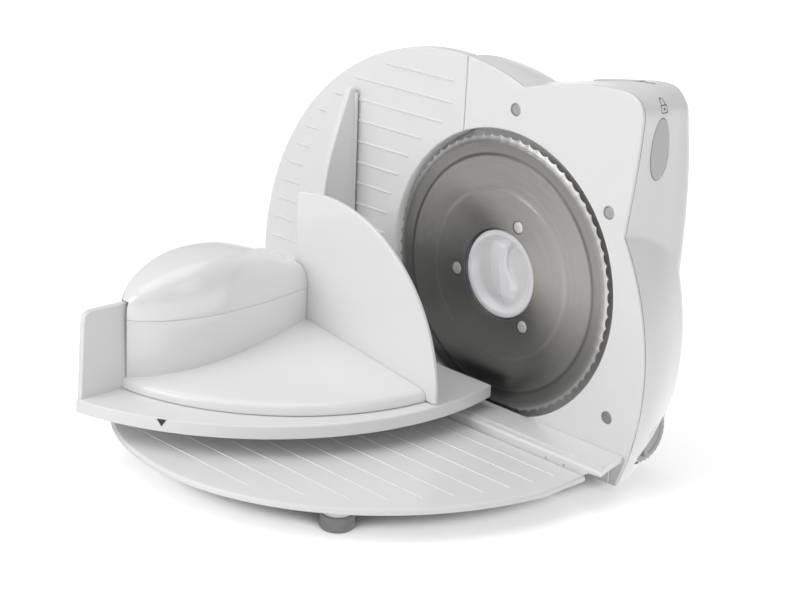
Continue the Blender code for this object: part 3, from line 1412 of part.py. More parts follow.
def table_feet():
    """X positions of the two table feet."""
    return [TABLE_X + TABLE_HALF_LENGTH * share for share in reversed(TABLE_FOOT_SHARES)]


def hinge_pin(x):
    """Pin through one table hinge."""
    return rod("x", (HINGE_Y, HINGE_Z), HINGE_PIN_RADIUS, x - HINGE_PIN_LENGTH / 2,
               x + HINGE_PIN_LENGTH / 2)


def carriage_outline():
    """Plan of the carriage floor, counter-clockwise from above."""
    start = math.acos((FENCE_X - CARRIAGE_ARC_X) / CARRIAGE_ARC_RADIUS)
    end = math.asin((CARRIAGE_TIP_Y - CARRIAGE_ARC_Y) / CARRIAGE_ARC_RADIUS)
    points = [(FENCE_X - FENCE_THICKNESS / 2, CARRIAGE_BACK_Y)]
    points.append((FENCE_X - FENCE_THICKNESS / 2,
                   CARRIAGE_ARC_Y - CARRIAGE_ARC_RADIUS * math.sin(start)))
    for step in range(CARRIAGE_ARC_STEPS + 1):
        angle = -start + (end + start) * step / CARRIAGE_ARC_STEPS
        points.append((CARRIAGE_ARC_X + CARRIAGE_ARC_RADIUS * math.cos(angle),
                       CARRIAGE_ARC_Y + CARRIAGE_ARC_RADIUS * math.sin(angle)))
    points.append((CARRIAGE_TIP_X - CARRIAGE_FLOOR, CARRIAGE_BACK_Y))
    return points


def lean(body):
    """Lean a fence shape away from the blade as it rises."""
    for vertex in body.data.vertices:
        vertex.co.x -= (vertex.co.z - CARRIAGE_TOP_Z) * FENCE_LEAN
    return body


def carriage():
    """Carriage floor, its leaning fence with a tall fin and the hand guard."""
    outline = carriage_outline()
    body = loft([
        [(x, y, CARRIAGE_RIM_Z) for x, y in outline],
        [(x, y, CARRIAGE_TOP_Z - CARRIAGE_BEVEL) for x, y in outline],
        [(x, y, CARRIAGE_TOP_Z) for x, y in offset_loop(outline, CARRIAGE_BEVEL)],
    ])
    cut(body, prism("z", offset_loop(outline, CARRIAGE_WALL), CARRIAGE_RIM_Z - OVERRUN,
                    CARRIAGE_TOP_Z - CARRIAGE_FLOOR))
    fence = prism("x", scaled(FENCE_SHARES, FENCE_LENGTH), FENCE_X - FENCE_THICKNESS, FENCE_X)
    add(body, lean(fence))
    guard = prism("y", scaled(GUARD_SHARES, FENCE_LENGTH), GUARD_FRONT_Y, GUARD_BACK_Y)
    add(body, guard)
    return body


def carriage_runner():
    """Sliding shoe that rides on the rail."""
    body = box(RUNNER_LEFT_X, RUNNER_RIGHT_X, RUNNER_FRONT_Y, RUNNER_BACK_Y, RUNNER_BOTTOM_Z,
               RUNNER_TOP_Z)
    cut(body, box(RUNNER_LEFT_X - OVERRUN, RUNNER_RIGHT_X + OVERRUN, RIDGE_Y - RIDGE_WIDTH,
                  RIDGE_Y + RIDGE_WIDTH, RUNNER_BOTTOM_Z - OVERRUN,
                  RAIL_TOP_Z + RIDGE_HEIGHT + PLAY))
    return body


def arch_ring(index, inset, bottom, reach):
    """One closed arch section of the holder's dome."""
    y = HOLDER_LENGTH * HOLDER_Y_SHARES[index] + reach
    half = max(HOLDER_HALF_WIDTH * HOLDER_WIDTH_SHARES[index] - inset, FIT)
    crest = HOLDER_CREST_Z * HOLDER_CREST_SHARES[index] - inset
    ring = [(HOLDER_X + half, y, bottom), (HOLDER_X + half, y, HOLDER_HIP_Z)]
    for step in range(1, ARCH_STEPS):
        angle = math.pi * step / ARCH_STEPS
        cosine = math.cos(angle)
        width = math.copysign(abs(cosine) ** ARCH_WIDTH_POWER, cosine)
        rise = math.sin(angle) ** ARCH_HEIGHT_POWER
        ring.append((HOLDER_X + half * width, y, HOLDER_HIP_Z + (crest - HOLDER_HIP_Z) * rise))
    ring.append((HOLDER_X - half, y, HOLDER_HIP_Z))
    ring.append((HOLDER_X - half, y, bottom))
    return ring


def apron(drop, inset, bottom):
    """Ramp-like foot of the holder, fanned out to its round edge."""
    radius = APRON_ARC_RADIUS - inset
    corner = (APRON_CORNER_X, HOLDER_BACK_Y - inset)
    edge = []
    first = math.radians(APRON_START_ANGLE)
    last = math.asin((HOLDER_BACK_Y - inset - APRON_ARC_Y) / radius)
    for step in range(APRON_STEPS + 1):
        angle = first + (last - first) * step / APRON_STEPS
        edge.append((APRON_ARC_X + radius * math.cos(angle),
                     APRON_ARC_Y + radius * math.sin(angle)))
    count = len(edge)
    near = [(corner[0] + (x - corner[0]) * APRON_RIM_SHARE,
             corner[1] + (y - corner[1]) * APRON_RIM_SHARE) for x, y in edge]
    vertices = [(corner[0], corner[1], APRON_INNER_Z - drop), (corner[0], corner[1], bottom)]
    vertices += [(x, y, APRON_OUTER_Z - drop) for x, y in near]
    vertices += [(x, y, APRON_RIM_Z - drop) for x, y in edge]
    vertices += [(x, y, bottom) for x, y in edge]
    ramp = 2
    rim = ramp + count
    low = rim + count
    faces = []
    for step in range(count - 1):
        faces.append([0, ramp + step, ramp + step + 1])
        faces.append([ramp + step, rim + step, rim + step + 1, ramp + step + 1])
        faces.append([rim + step, low + step, low + step + 1, rim + step + 1])
        faces.append([1, low + step + 1, low + step])
    faces.append([0, 1, low, rim, ramp])
    end = count - 1
    faces.append([0, ramp + end, rim + end, low + end, 1])
    return body_from(vertices, faces)


def holder_body():
    """Domed grip of the food holder that straddles the fence."""
    rows = range(len(HOLDER_Y_SHARES))
    body = loft([arch_ring(index, 0, HOLDER_SKIRT_Z, 0) for index in rows])
    foot_plate = apron(0, 0, HOLDER_BOTTOM_Z)
    cut(foot_plate, apron(HOLDER_WALL, HOLDER_WALL, HOLDER_BOTTOM_Z - OVERRUN))
    add(body, foot_plate)
    inner_rows = list(rows)[2:]
    rings = [arch_ring(index, HOLDER_WALL, HOLDER_BOTTOM_Z - OVERRUN,
                       -HOLDER_WALL if index == inner_rows[-1] else 0)
             for index in inner_rows]
    cut(body, loft(rings))
    cut(body, box(SLOT_LEFT_X, SLOT_RIGHT_X, -HOLDER_LENGTH - OVERRUN, HOLDER_BACK_Y + OVERRUN,
                  HOLDER_BOTTOM_Z - OVERRUN, SLOT_TOP_Z))
    return body


def holder_plate():
    """Pusher plate with spikes on the blade side."""
    first = math.asin((HOLDER_BOTTOM_Z - PLATE_ARC_Z) / PLATE_ARC_RADIUS)
    last = math.acos((PLATE_EDGE_X - PLATE_ARC_X) / PLATE_ARC_RADIUS)
    outline = [(PLATE_EDGE_X, HOLDER_BOTTOM_Z)]
    for step in range(PUSHER_ARC_STEPS + 1):
        angle = first + (last - first) * step / PUSHER_ARC_STEPS
        outline.append((PLATE_ARC_X + PLATE_ARC_RADIUS * math.cos(angle),
                        PLATE_ARC_Z + PLATE_ARC_RADIUS * math.sin(angle)))
    levels = [
        (PUSHER_FRONT_Y, PANEL_BEVEL),
        (PUSHER_FRONT_Y + PANEL_BEVEL, 0),
        (PUSHER_BACK_Y, 0),
    ]
    body = loft([[(x, y, z) for x, z in offset_loop(outline, inset)] for y, inset in levels])
    for row in range(SPIKE_ROWS):
        for column in range(SPIKE_COLUMNS - row):
            x = SPIKE_LEFT_X + SPIKE_PITCH_X * column
            z = SPIKE_BOTTOM_Z + SPIKE_PITCH_Z * row
            rings = []
            for level, share in ((PUSHER_BACK_Y - FIT, 1),
                                 (PUSHER_BACK_Y + SPIKE_LENGTH, SPIKE_TIP_SHARE)):
                rings.append([(u, level, v)
                              for u, v in circle(SPIKE_RADIUS * share, SPIKE_SIDE_COUNT, (x, z))])
            add(body, loft(rings))
    return body


def cord_bush():
    """Rubber bush where the supply cable enters."""
    back = HOUSING_DEPTH
    profile = [
        (CORD_HOLE_RADIUS / 2, back - HOUSING_WALL - CAN_WALL),
        (CORD_HOLE_RADIUS - FIT, back - HOUSING_WALL - CAN_WALL),
        (CORD_HOLE_RADIUS - FIT, back + FIT),
        (CORD_HOLE_RADIUS + CAN_WALL, back + FIT),
        (CORD_HOLE_RADIUS + CAN_WALL, back + CAN_WALL),
        (CORD_HOLE_RADIUS / 2, back + CAN_WALL * 2),
    ]
    return lathe("y", (CORD_X, CORD_Z), profile, ROUND_STEPS)


def paint(piece, finish):
    """Give a piece its own Principled material."""
    colour, rough, metal = FINISHES[finish]
    material = bpy.data.materials.new(piece.name + "_finish")
    material.use_nodes = True
    shader = material.node_tree.nodes["Principled BSDF"]
    shader.inputs["Base Color"].default_value = (*colour, 1)
    shader.inputs["Roughness"].default_value = rough
    shader.inputs["Metallic"].default_value = metal
    piece.data.materials.clear()
    piece.data.materials.append(material)


def finish_piece(piece, name, finish, pivot):
    """Name, clean, move, smooth and paint one piece."""
    piece.name = name
    piece.data.name = name
    work = bmesh.new()
    work.from_mesh(piece.data)
    bmesh.ops.remove_doubles(work, verts=work.verts, dist=WELD)
    bmesh.ops.dissolve_degenerate(work, edges=work.edges, dist=WELD)
    bmesh.ops.triangulate(work, faces=work.faces)
    shift = Vector((PLACE_X, PLACE_Y, BLADE_HEIGHT))
    origin = Vector(pivot) + shift
    bmesh.ops.translate(work, verts=work.verts, vec=shift - origin)
    bmesh.ops.recalc_face_normals(work, faces=work.faces)
    if work.calc_volume(signed=True) < 0:
        bmesh.ops.reverse_faces(work, faces=work.faces)
    work.to_mesh(piece.data)
    work.free()
    piece.location = origin
    piece.data.shade_smooth()
    piece.data.set_sharp_from_angle(angle=CREASE_ANGLE)
    paint(piece, finish)


def main():
    """Build every piece of the slicer."""
    clear_scene()
    still = (0, 0, 0)
    motor = (MOTOR_X, GEAR_Y, 0)
    dial = (0, DIAL_Y, DIAL_Z)
    hinge = (0, HINGE_Y, HINGE_Z)
    pieces = [
        (front_panel(), "front_panel", "white_plastic", still),
        (rear_housing(), "rear_housing", "white_plastic", still),
        (base(), "base_rail", "white_plastic", still),
        (gear_plate(), "gear_plate", "zinc", still),
        (axle(), "blade_axle", "steel", still),
        (motor_can(), "motor_can", "zinc", still),
        (motor_cap(), "motor_cap", "dark_plastic", still),
        (magnet(-1), "magnet_left", "ferrite", still),
        (magnet(1), "magnet_right", "ferrite", still),
        (brush(-1), "brush_left", "carbon", still),
        (brush(1), "brush_right", "carbon", still),
        (switch_block(), "main_switch", "dark_plastic", still),
        (cord_bush(), "cable_bush", "rubber", still),
        (blade(), "blade", "blade_steel", still),
        (blade_carrier(), "blade_carrier", "pale_grey", still),
        (worm_gear(), "worm_gear", "gear_plastic", still),
        (blade_knob(), "blade_knob", "knob_plastic", still),
        (motor_shaft(), "motor_shaft", "steel", motor),
        (worm(), "worm", "steel", motor),
        (armature(), "armature", "zinc", motor),
        (commutator(), "commutator", "copper", motor),
        (cooling_fan(), "cooling_fan", "dark_plastic", motor),
        (power_slide(), "power_slide", "white_plastic", (SLIDE_X, SLIDE_Y, SLIDE_SURFACE_Z)),
        (lock_button(), "lock_button", "grey_plastic", (LOCK_OUT_X, LOCK_Y, LOCK_Z)),
        (thickness_dial(), "thickness_dial", "grey_plastic", dial),
        (dial_shaft(), "dial_shaft", "steel", dial),
        (dial_pinion(), "dial_pinion", "gear_plastic", dial),
        (stop_plate(), "stop_plate", "white_plastic", still),
        (stop_slider(), "stop_slider", "pale_grey", still),
        (table(), "table", "white_plastic", hinge),
        (carriage(), "carriage", "white_plastic", still),
        (carriage_runner(), "carriage_runner", "pale_grey", still),
        (holder_body(), "holder_body", "white_plastic", still),
        (holder_plate(), "holder_plate", "white_plastic", still),
    ]
    for index, (x, z) in enumerate(scaled(SCREW_SHARES, DISC_RADIUS)):
        pieces.append((face_screw(x, z), f"face_screw_{index + 1}", "zinc", still))
    for index, angle in enumerate(PILLAR_ANGLES):
        x, z = polar(PILLAR_CIRCLE, angle)
        pieces.append((plate_screw(x, z), f"plate_screw_{index + 1}", "zinc", still))
    for index, x in enumerate(slider_rods()):
        pieces.append((guide_rod(x), f"guide_rod_{index + 1}", "steel", still))
    for index, (x, y) in enumerate(base_feet()):
        pieces.append((foot(x, y, FOOT_RADIUS, BASE_BOTTOM_Z), f"base_foot_{index + 1}",
                       "rubber", still))
    pieces.append((foot(REAR_FOOT_X, REAR_FOOT_Y, FOOT_RADIUS, BASE_BOTTOM_Z), "base_foot_4",
                   "rubber", still))
    for index, x in enumerate(table_feet()):
        pieces.append((foot(x, TABLE_FOOT_Y, TABLE_FOOT_RADIUS, TABLE_FOOT_TOP_Z),
                       f"table_foot_{index + 1}", "rubber", hinge))
    for index, x in enumerate(hinge_centres()):
        pieces.append((hinge_pin(x), f"hinge_pin_{index + 1}", "steel", still))
    for piece, name, finish, pivot in pieces:
        finish_piece(piece, name, finish, pivot)
        print(name, len(piece.data.polygons))
    print("triangles", sum(len(item[0].data.polygons) for item in pieces))


main()
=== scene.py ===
"""Studio picture of a household food slicer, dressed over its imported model.

Every piece is shaped in millimetres about the blade axis: X runs along the
carriage travel, Y into the machine and Z up, with the slicing plane at y = 0.
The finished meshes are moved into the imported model's frame, in metres.
"""

import json
import logging
import math
from collections.abc import Iterator, Sequence
from contextlib import contextmanager
from dataclasses import dataclass, field
from enum import Enum

import bmesh
import bpy
from mathutils import Matrix, Vector
from mathutils.bvhtree import BVHTree


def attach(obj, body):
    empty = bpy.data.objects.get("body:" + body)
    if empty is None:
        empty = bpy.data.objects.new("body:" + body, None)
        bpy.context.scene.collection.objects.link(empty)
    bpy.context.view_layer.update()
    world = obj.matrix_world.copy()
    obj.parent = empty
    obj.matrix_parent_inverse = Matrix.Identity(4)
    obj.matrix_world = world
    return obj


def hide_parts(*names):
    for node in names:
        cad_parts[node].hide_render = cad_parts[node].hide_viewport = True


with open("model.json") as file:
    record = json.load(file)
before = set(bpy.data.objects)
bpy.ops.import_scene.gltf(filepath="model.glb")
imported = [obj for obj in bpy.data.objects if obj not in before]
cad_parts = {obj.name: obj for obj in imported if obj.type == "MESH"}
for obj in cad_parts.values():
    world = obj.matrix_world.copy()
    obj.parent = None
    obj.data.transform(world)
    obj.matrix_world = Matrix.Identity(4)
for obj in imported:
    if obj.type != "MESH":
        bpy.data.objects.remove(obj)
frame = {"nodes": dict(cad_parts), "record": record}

LOG = logging.getLogger("slicer")
# A millimetre in metres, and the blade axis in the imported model
MM = 0.001
PLACE = Vector((49.0, 80.0, 108.0))
# How far a cutting tool reaches past a face
OVER = 4.0
# Points this close are one, and faces that turn less than this are flat
WELD = 0.0005
FLUSH = 0.0004
# A place beyond every plate, then the points and the least length of a rib
FAR = 1000.0
RIB_POINTS = 25
SHORTEST_RIB = 0.5

Flat = tuple[float, float]
Point = tuple[float, float, float]
Row = tuple[float, ...]
Flats = tuple[Flat, ...]
Line = Sequence[Flat]
Shape = bpy.types.Object
Socket = bpy.types.NodeSocket
Tree = bpy.types.NodeTree
Feeds = dict[str | int, object]


class Axis(Enum):
    """Direction in which an outline is extruded."""

    X = "x"
    Y = "y"
    Z = "z"


class Join(Enum):
    """How two solids are combined."""

    CUT = "DIFFERENCE"
    ADD = "UNION"
    KEEP = "INTERSECT"


def place(axis: Axis, u: float, v: float, w: float) -> Point:
    """Turn outline coordinates and a level into a point.

    Args:
        axis: Direction of the level.
        u: First outline coordinate.
        v: Second outline coordinate.
        w: Level along the axis.

    Returns:
        The point as (x, y, z).
    """
    if axis is Axis.X:
        return (w, u, v)
    if axis is Axis.Y:
        return (u, w, v)
    return (u, v, w)


def lay(axis: Axis, outline: Line, level: float) -> list[Point]:
    """Lay an outline at a level along an axis.

    Args:
        axis: Direction of the level.
        outline: The outline in the two other directions.
        level: The level.

    Returns:
        The outline's points.
    """
    return [place(axis, u, v, level) for u, v in outline]


def linked(name: str, data: bpy.types.ID) -> Shape:
    """Put a mesh, light or camera into the scene.

    Args:
        name: Name of the object.
        data: What it shows.

    Returns:
        The object.
    """
    shape = bpy.data.objects.new(name, data)
    bpy.context.scene.collection.objects.link(shape)
    return shape


@contextmanager
def editing(mesh: bpy.types.Mesh) -> Iterator[bmesh.types.BMesh]:
    """Open a mesh for edits and write them back at the end.

    Args:
        mesh: The mesh.

    Yields:
        Its editable form.
    """
    work = bmesh.new()
    work.from_mesh(mesh)
    yield work
    work.to_mesh(mesh)
    work.free()


def solid(vertices: Sequence[Point], faces: Sequence[Sequence[int]]) -> Shape:
    """Make an object from a closed list of vertices and faces.

    Args:
        vertices: Corner points in millimetres.
        faces: Corner numbers of each face.

    Returns:
        An object whose faces point outwards.
    """
    mesh = bpy.data.meshes.new("shape")
    mesh.from_pydata([tuple(v) for v in vertices], [], [list(f) for f in faces])
    with editing(mesh) as work:
        bmesh.ops.remove_doubles(work, verts=work.verts, dist=WELD)
        bmesh.ops.dissolve_degenerate(work, edges=work.edges, dist=WELD)
        bmesh.ops.recalc_face_normals(work, faces=work.faces)
        if work.calc_volume(signed=True) < 0:
            bmesh.ops.reverse_faces(work, faces=work.faces)
    return linked("shape", mesh)


def loft(rings: Sequence[Sequence[Point]], capped: bool = True) -> Shape:
    """Join closed rings of points into one skin.

    Args:
        rings: Rings with the same number of points.
        capped: Whether both ends get a flat face.

    Returns:
        The lofted object.
    """
    count = len(rings[0])
    vertices = [point for ring in rings for point in ring]
    faces: list[list[int]] = []
    for row in range(len(rings) - 1):
        for column in range(count):
            first = row * count + column
            second = row * count + (column + 1) % count
            faces.append([first, second, second + count, first + count])
    if capped:
        last = (len(rings) - 1) * count
        faces.append(list(range(count)))
        faces.append([last + column for column in range(count)])
    return solid(vertices, faces)


def counter_clockwise(outline: Line) -> list[Flat]:
    """Order an outline counter-clockwise."""
    area = sum(a[0] * b[1] - b[0] * a[1] for a, b in zip(outline, [*outline[1:], outline[0]]))
    return list(outline) if area > 0 else list(reversed(outline))


def offset_loop(points: Line, distance: float) -> list[Flat]:
    """Move a closed counter-clockwise outline inwards.

    Args:
        points: The outline.
        distance: Length of the move.

    Returns:
        The smaller outline with as many points.
    """
    count = len(points)
    moved: list[Flat] = []
    for index, point in enumerate(points):
        here = Vector(point)
        first = (here - Vector(points[index - 1])).normalized()
        second = (Vector(points[(index + 1) % count]) - here).normalized()
        normal = (Vector((-first.y, first.x)) + Vector((-second.y, second.x))) / 2
        moved.append(tuple(here + normal * (distance / max(normal.length_squared, 0.3))))
    return moved


def offset_line(points: Line, distance: float) -> list[Flat]:
    """Move an open line of points sideways to its right.

    Args:
        points: The line.
        distance: Length of the move.

    Returns:
        The moved line.
    """
    moved: list[Flat] = []
    last = len(points) - 1
    for index, point in enumerate(points):
        here = Vector(point)
        steps = (here - Vector(points[max(index - 1, 0)]),
                 Vector(points[min(index + 1, last)]) - here)
        normals = [Vector((step.y, -step.x)).normalized() for step in steps if step.length > 0]
        normal = sum(normals, Vector((0, 0))) / len(normals)
        moved.append(tuple(here + normal * (distance / normal.length_squared)))
    return moved


def smooth_line(points: Line, steps: int) -> list[Flat]:
    """Round an open line of points with a centripetal curve.

    Args:
        points: Points that the curve passes through.
        steps: Pieces in each span.

    Returns:
        The curve's points, both ends included.
    """
    knots = [Vector(p) for p in points]
    ends = [2 * knots[0] - knots[1], *knots, 2 * knots[-1] - knots[-2]]
    curve: list[Flat] = []
    for index in range(1, len(ends) - 2):
        p0, p1, p2, p3 = ends[index - 1:index + 3]
        t0 = 0.0
        t1 = max((p1 - p0).length, 1e-6) ** 0.5
        t2 = t1 + max((p2 - p1).length, 1e-6) ** 0.5
        t3 = t2 + max((p3 - p2).length, 1e-6) ** 0.5
        for step in range(steps):
            t = t1 + (t2 - t1) * step / steps
            a1 = p0.lerp(p1, (t - t0) / (t1 - t0))
            a2 = p1.lerp(p2, (t - t1) / (t2 - t1))
            a3 = p2.lerp(p3, (t - t2) / (t3 - t2))
            b1 = a1.lerp(a2, (t - t0) / (t2 - t0))
            b2 = a2.lerp(a3, (t - t1) / (t3 - t1))
            curve.append(tuple(b1.lerp(b2, (t - t1) / (t2 - t1))))
    curve.append(tuple(knots[-1]))
    return curve


def along(table: Sequence[float], u: float) -> float:
    """Read a table of values smoothly at a place between its entries.

    Args:
        table: Values at whole numbers.
        u: Place, from 0 to the last entry's number.

    Returns:
        The value there.
    """
    last = len(table) - 1
    index = min(int(u), last - 1)
    t = u - index
    p1, p2 = table[index], table[index + 1]
    p0 = table[index - 1] if index > 0 else 2 * p1 - p2
    p3 = table[index + 2] if index + 2 <= last else 2 * p2 - p1
    return 0.5 * (2 * p1 + (p2 - p0) * t + (2 * p0 - 5 * p1 + 4 * p2 - p3) * t * t
                  + (3 * p1 - p0 - 3 * p2 + p3) * t ** 3)


def float_at(places: Sequence[float], values: Sequence[float], place_now: float) -> float:
    """Read a table at any place, slightly eased between its entries.

    Args:
        places: Rising places of the entries.
        values: Their values.
        place_now: The place that is read.

    Returns:
        The value there, held at both ends.
    """
    if place_now <= places[0]:
        return values[0]
    for index in range(1, len(places)):
        if place_now <= places[index]:
            share = (place_now - places[index - 1]) / (places[index] - places[index - 1])
            share = share * share * (3 - 2 * share) * 0.5 + share * 0.5
            return values[index - 1] + (values[index] - values[index - 1]) * share
    return values[-1]


def circle(radius: float, steps: int, centre: Flat = (0.0, 0.0)) -> list[Flat]:
    """List points round a circle.

    Args:
        radius: Its radius.
        steps: Number of points.
        centre: Its centre.

    Returns:
        The points, counter-clockwise.
    """
    return oval(centre, (radius, radius), steps)


def oval(centre: Flat, half: Flat, steps: int) -> list[Flat]:
    """List points round an upright ellipse.

    Args:
        centre: Its centre.
        half: Its half width and half height.
        steps: Number of points.

    Returns:
        The points, counter-clockwise.
    """
    turn = 2 * math.pi / steps
    return [(centre[0] + half[0] * math.cos(turn * step), centre[1] + half[1] * math.sin(turn * step))
            for step in range(steps)]


def arc(centre: Flat, radius: float, first: float, last: float, steps: int) -> list[Flat]:
    """List points along an arc.

    Args:
        centre: Its centre.
        radius: Its radius.
        first: Angle of its start in radians.
        last: Angle of its end in radians.
        steps: Pieces in the arc.

    Returns:
        The points, both ends included.
    """
    turns = [first + (last - first) * step / steps for step in range(steps + 1)]
    return [(centre[0] + radius * math.cos(turn), centre[1] + radius * math.sin(turn))
            for turn in turns]


def quarter(radius: float, steps: int) -> list[Flat]:
    """Follow a rounded edge from a face to the side.

    Args:
        radius: Radius of the edge.
        steps: Pieces in the rounding.

    Returns:
        Pairs of depth below the face and inset from the side, only one pair
        for a sharp edge.
    """
    if not radius:
        return [(0.0, 0.0)]
    angles = [math.pi / 2 * step / steps for step in range(steps + 1)]
    return [(radius * (1 - math.cos(a)), radius * (1 - math.sin(a))) for a in angles]


def rectangle(x: Flat, y: Flat) -> list[Flat]:
    """List the corners of a rectangle.

    Args:
        x: Its low and high first coordinate.
        y: Its low and high second coordinate.

    Returns:
        The four corners, counter-clockwise.
    """
    return [(x[0], y[0]), (x[1], y[0]), (x[1], y[1]), (x[0], y[1])]


def fillet(outline: Line, radius: float, steps: int = 5, limit: float = 0.45) -> list[Flat]:
    """Round the sharp corners of a closed outline.

    Args:
        outline: The closed outline.
        radius: Reach of the rounding along both edges.
        steps: Pieces in each rounded corner.
        limit: Turns below this many radians stay as they are.

    Returns:
        The rounded outline.
    """
    count = len(outline)
    rounded: list[Flat] = []
    for index, point in enumerate(outline):
        here = Vector(point)
        before = Vector(outline[index - 1]) - here
        after = Vector(outline[(index + 1) % count]) - here
        turn = math.pi - before.angle(after)
        if turn < limit:
            rounded.append(tuple(point))
            continue
        start = here + before.normalized() * min(radius, before.length * 0.45)
        end = here + after.normalized() * min(radius, after.length * 0.45)
        for step in range(steps + 1):
            t = step / steps
            rounded.append(tuple(start.lerp(here, t).lerp(here.lerp(end, t), t)))
    return rounded


def plate(axis: Axis, outline: Line, low: float, high: float, low_round: float = 0.0,
          high_round: float = 0.0, steps: int = 4) -> Shape:
    """Extrude an outline and round its two edges.

    Args:
        axis: Direction of the thickness.
        outline: Closed outline in the two other directions.
        low: Level of the first face.
        high: Level of the second face.
        low_round: Edge radius at the first face.
        high_round: Edge radius at the second face.
        steps: Pieces in each rounded edge.

    Returns:
        The plate.
    """
    points = counter_clockwise(outline)
    levels = [(low + depth, inset) for depth, inset in quarter(low_round, steps)]
    levels += [(high - depth, inset) for depth, inset in reversed(quarter(high_round, steps))]
    return loft([lay(axis, offset_loop(points, inset), level) for level, inset in levels])


def block(x: Flat, y: Flat, z: Flat, edge: float = 0.0) -> Shape:
    """Make a block between two corners, with rounded edges if wished.

    Args:
        x: Low and high X.
        y: Low and high Y.
        z: Low and high Z.
        edge: Radius of every edge.

    Returns:
        The block.
    """
    outline = rectangle(x, y)
    if edge:
        outline = fillet(outline, edge)
    return plate(Axis.Z, outline, z[0], z[1], edge, edge)


def rod(axis: Axis, centre: Flat, radius: float, low: float, high: float, steps: int = 32,
        edge: float = 0.0) -> Shape:
    """Make a round bar.

    Args:
        axis: Direction of the bar.
        centre: Its place in the two other directions.
        radius: Its radius.
        low: Level of one end.
        high: Level of the other end.
        steps: Points round the bar.
        edge: Radius of both end edges.

    Returns:
        The bar.
    """
    return plate(axis, circle(radius, steps, centre), low, high, edge, edge)


def turned(axis: Axis, centre: Flat, profile: Line, steps: int) -> Shape:
    """Turn a closed profile of (radius, level) about an axis.

    Args:
        axis: Direction of the axis.
        centre: Place of the axis in the two other directions.
        profile: Closed profile that may touch the axis.
        steps: Points round the axis.

    Returns:
        The turned object.
    """
    vertices: list[Point] = []
    faces: list[list[int]] = []
    rows = len(profile)
    for u, v in circle(1.0, steps):
        vertices.extend(place(axis, centre[0] + radius * u, centre[1] + radius * v, level)
                        for radius, level in profile)
    for step in range(steps):
        here = step * rows
        there = ((step + 1) % steps) * rows
        for row in range(rows):
            after = (row + 1) % rows
            if profile[row][0] == 0 and profile[after][0] == 0:
                continue
            faces.append([here + row, here + after, there + after, there + row])
    return solid(vertices, faces)


def settle(shape: Shape) -> Shape:
    """Turn an object with modifiers into a plain mesh without them.

    Args:
        shape: The object.

    Returns:
        The same object.
    """
    bpy.context.view_layer.update()
    graph = bpy.context.evaluated_depsgraph_get()
    mesh = bpy.data.meshes.new_from_object(shape.evaluated_get(graph))
    shape.modifiers.clear()
    shape.data = mesh
    return shape


def bevelled(shape: Shape, width: float, segments: int, limit: float) -> Shape:
    """Round the sharp edges of an object.

    Args:
        shape: The object.
        width: Width of the rounding in millimetres.
        segments: Pieces across it.
        limit: Edges that turn less than this many radians stay as they are.

    Returns:
        The same object.
    """
    modifier = shape.modifiers.new("edges", "BEVEL")
    modifier.width = width
    modifier.segments = segments
    modifier.limit_method = "ANGLE"
    modifier.angle_limit = limit
    return settle(shape)


def combine(body: Shape, tool: Shape, how: Join) -> Shape:
    """Apply one Boolean and drop the tool.

    Args:
        body: Solid that is kept.
        tool: Solid that is used up.
        how: The kind of combination.

    Returns:
        The changed body.
    """
    modifier = body.modifiers.new("combine", "BOOLEAN")
    modifier.operation = how.value
    modifier.solver = "MANIFOLD"
    modifier.object = tool
    settle(body)
    with editing(body.data) as work:
        bmesh.ops.dissolve_limit(work, angle_limit=FLUSH, verts=work.verts, edges=work.edges)
    bpy.data.objects.remove(tool)
    return body


def cut(body: Shape, *tools: Shape) -> Shape:
    """Take tools out of a body.

    Args:
        body: Solid that is kept.
        tools: Solids that are used up.

    Returns:
        The changed body.
    """
    for tool in tools:
        combine(body, tool, Join.CUT)
    return body


def add(body: Shape, *tools: Shape) -> Shape:
    """Fuse tools to a body.

    Args:
        body: Solid that is kept.
        tools: Solids that are used up.

    Returns:
        The changed body.
    """
    for tool in tools:
        combine(body, tool, Join.ADD)
    return body


def merge(parts: Sequence[Shape]) -> Shape:
    """Put several meshes into one object without cutting them.

    Args:
        parts: Objects that are used up.

    Returns:
        One object that holds all their faces.
    """
    mesh = bpy.data.meshes.new("shape")
    with editing(mesh) as work:
        for part in parts:
            work.from_mesh(part.data)
            bpy.data.objects.remove(part)
    return linked("shape", mesh)


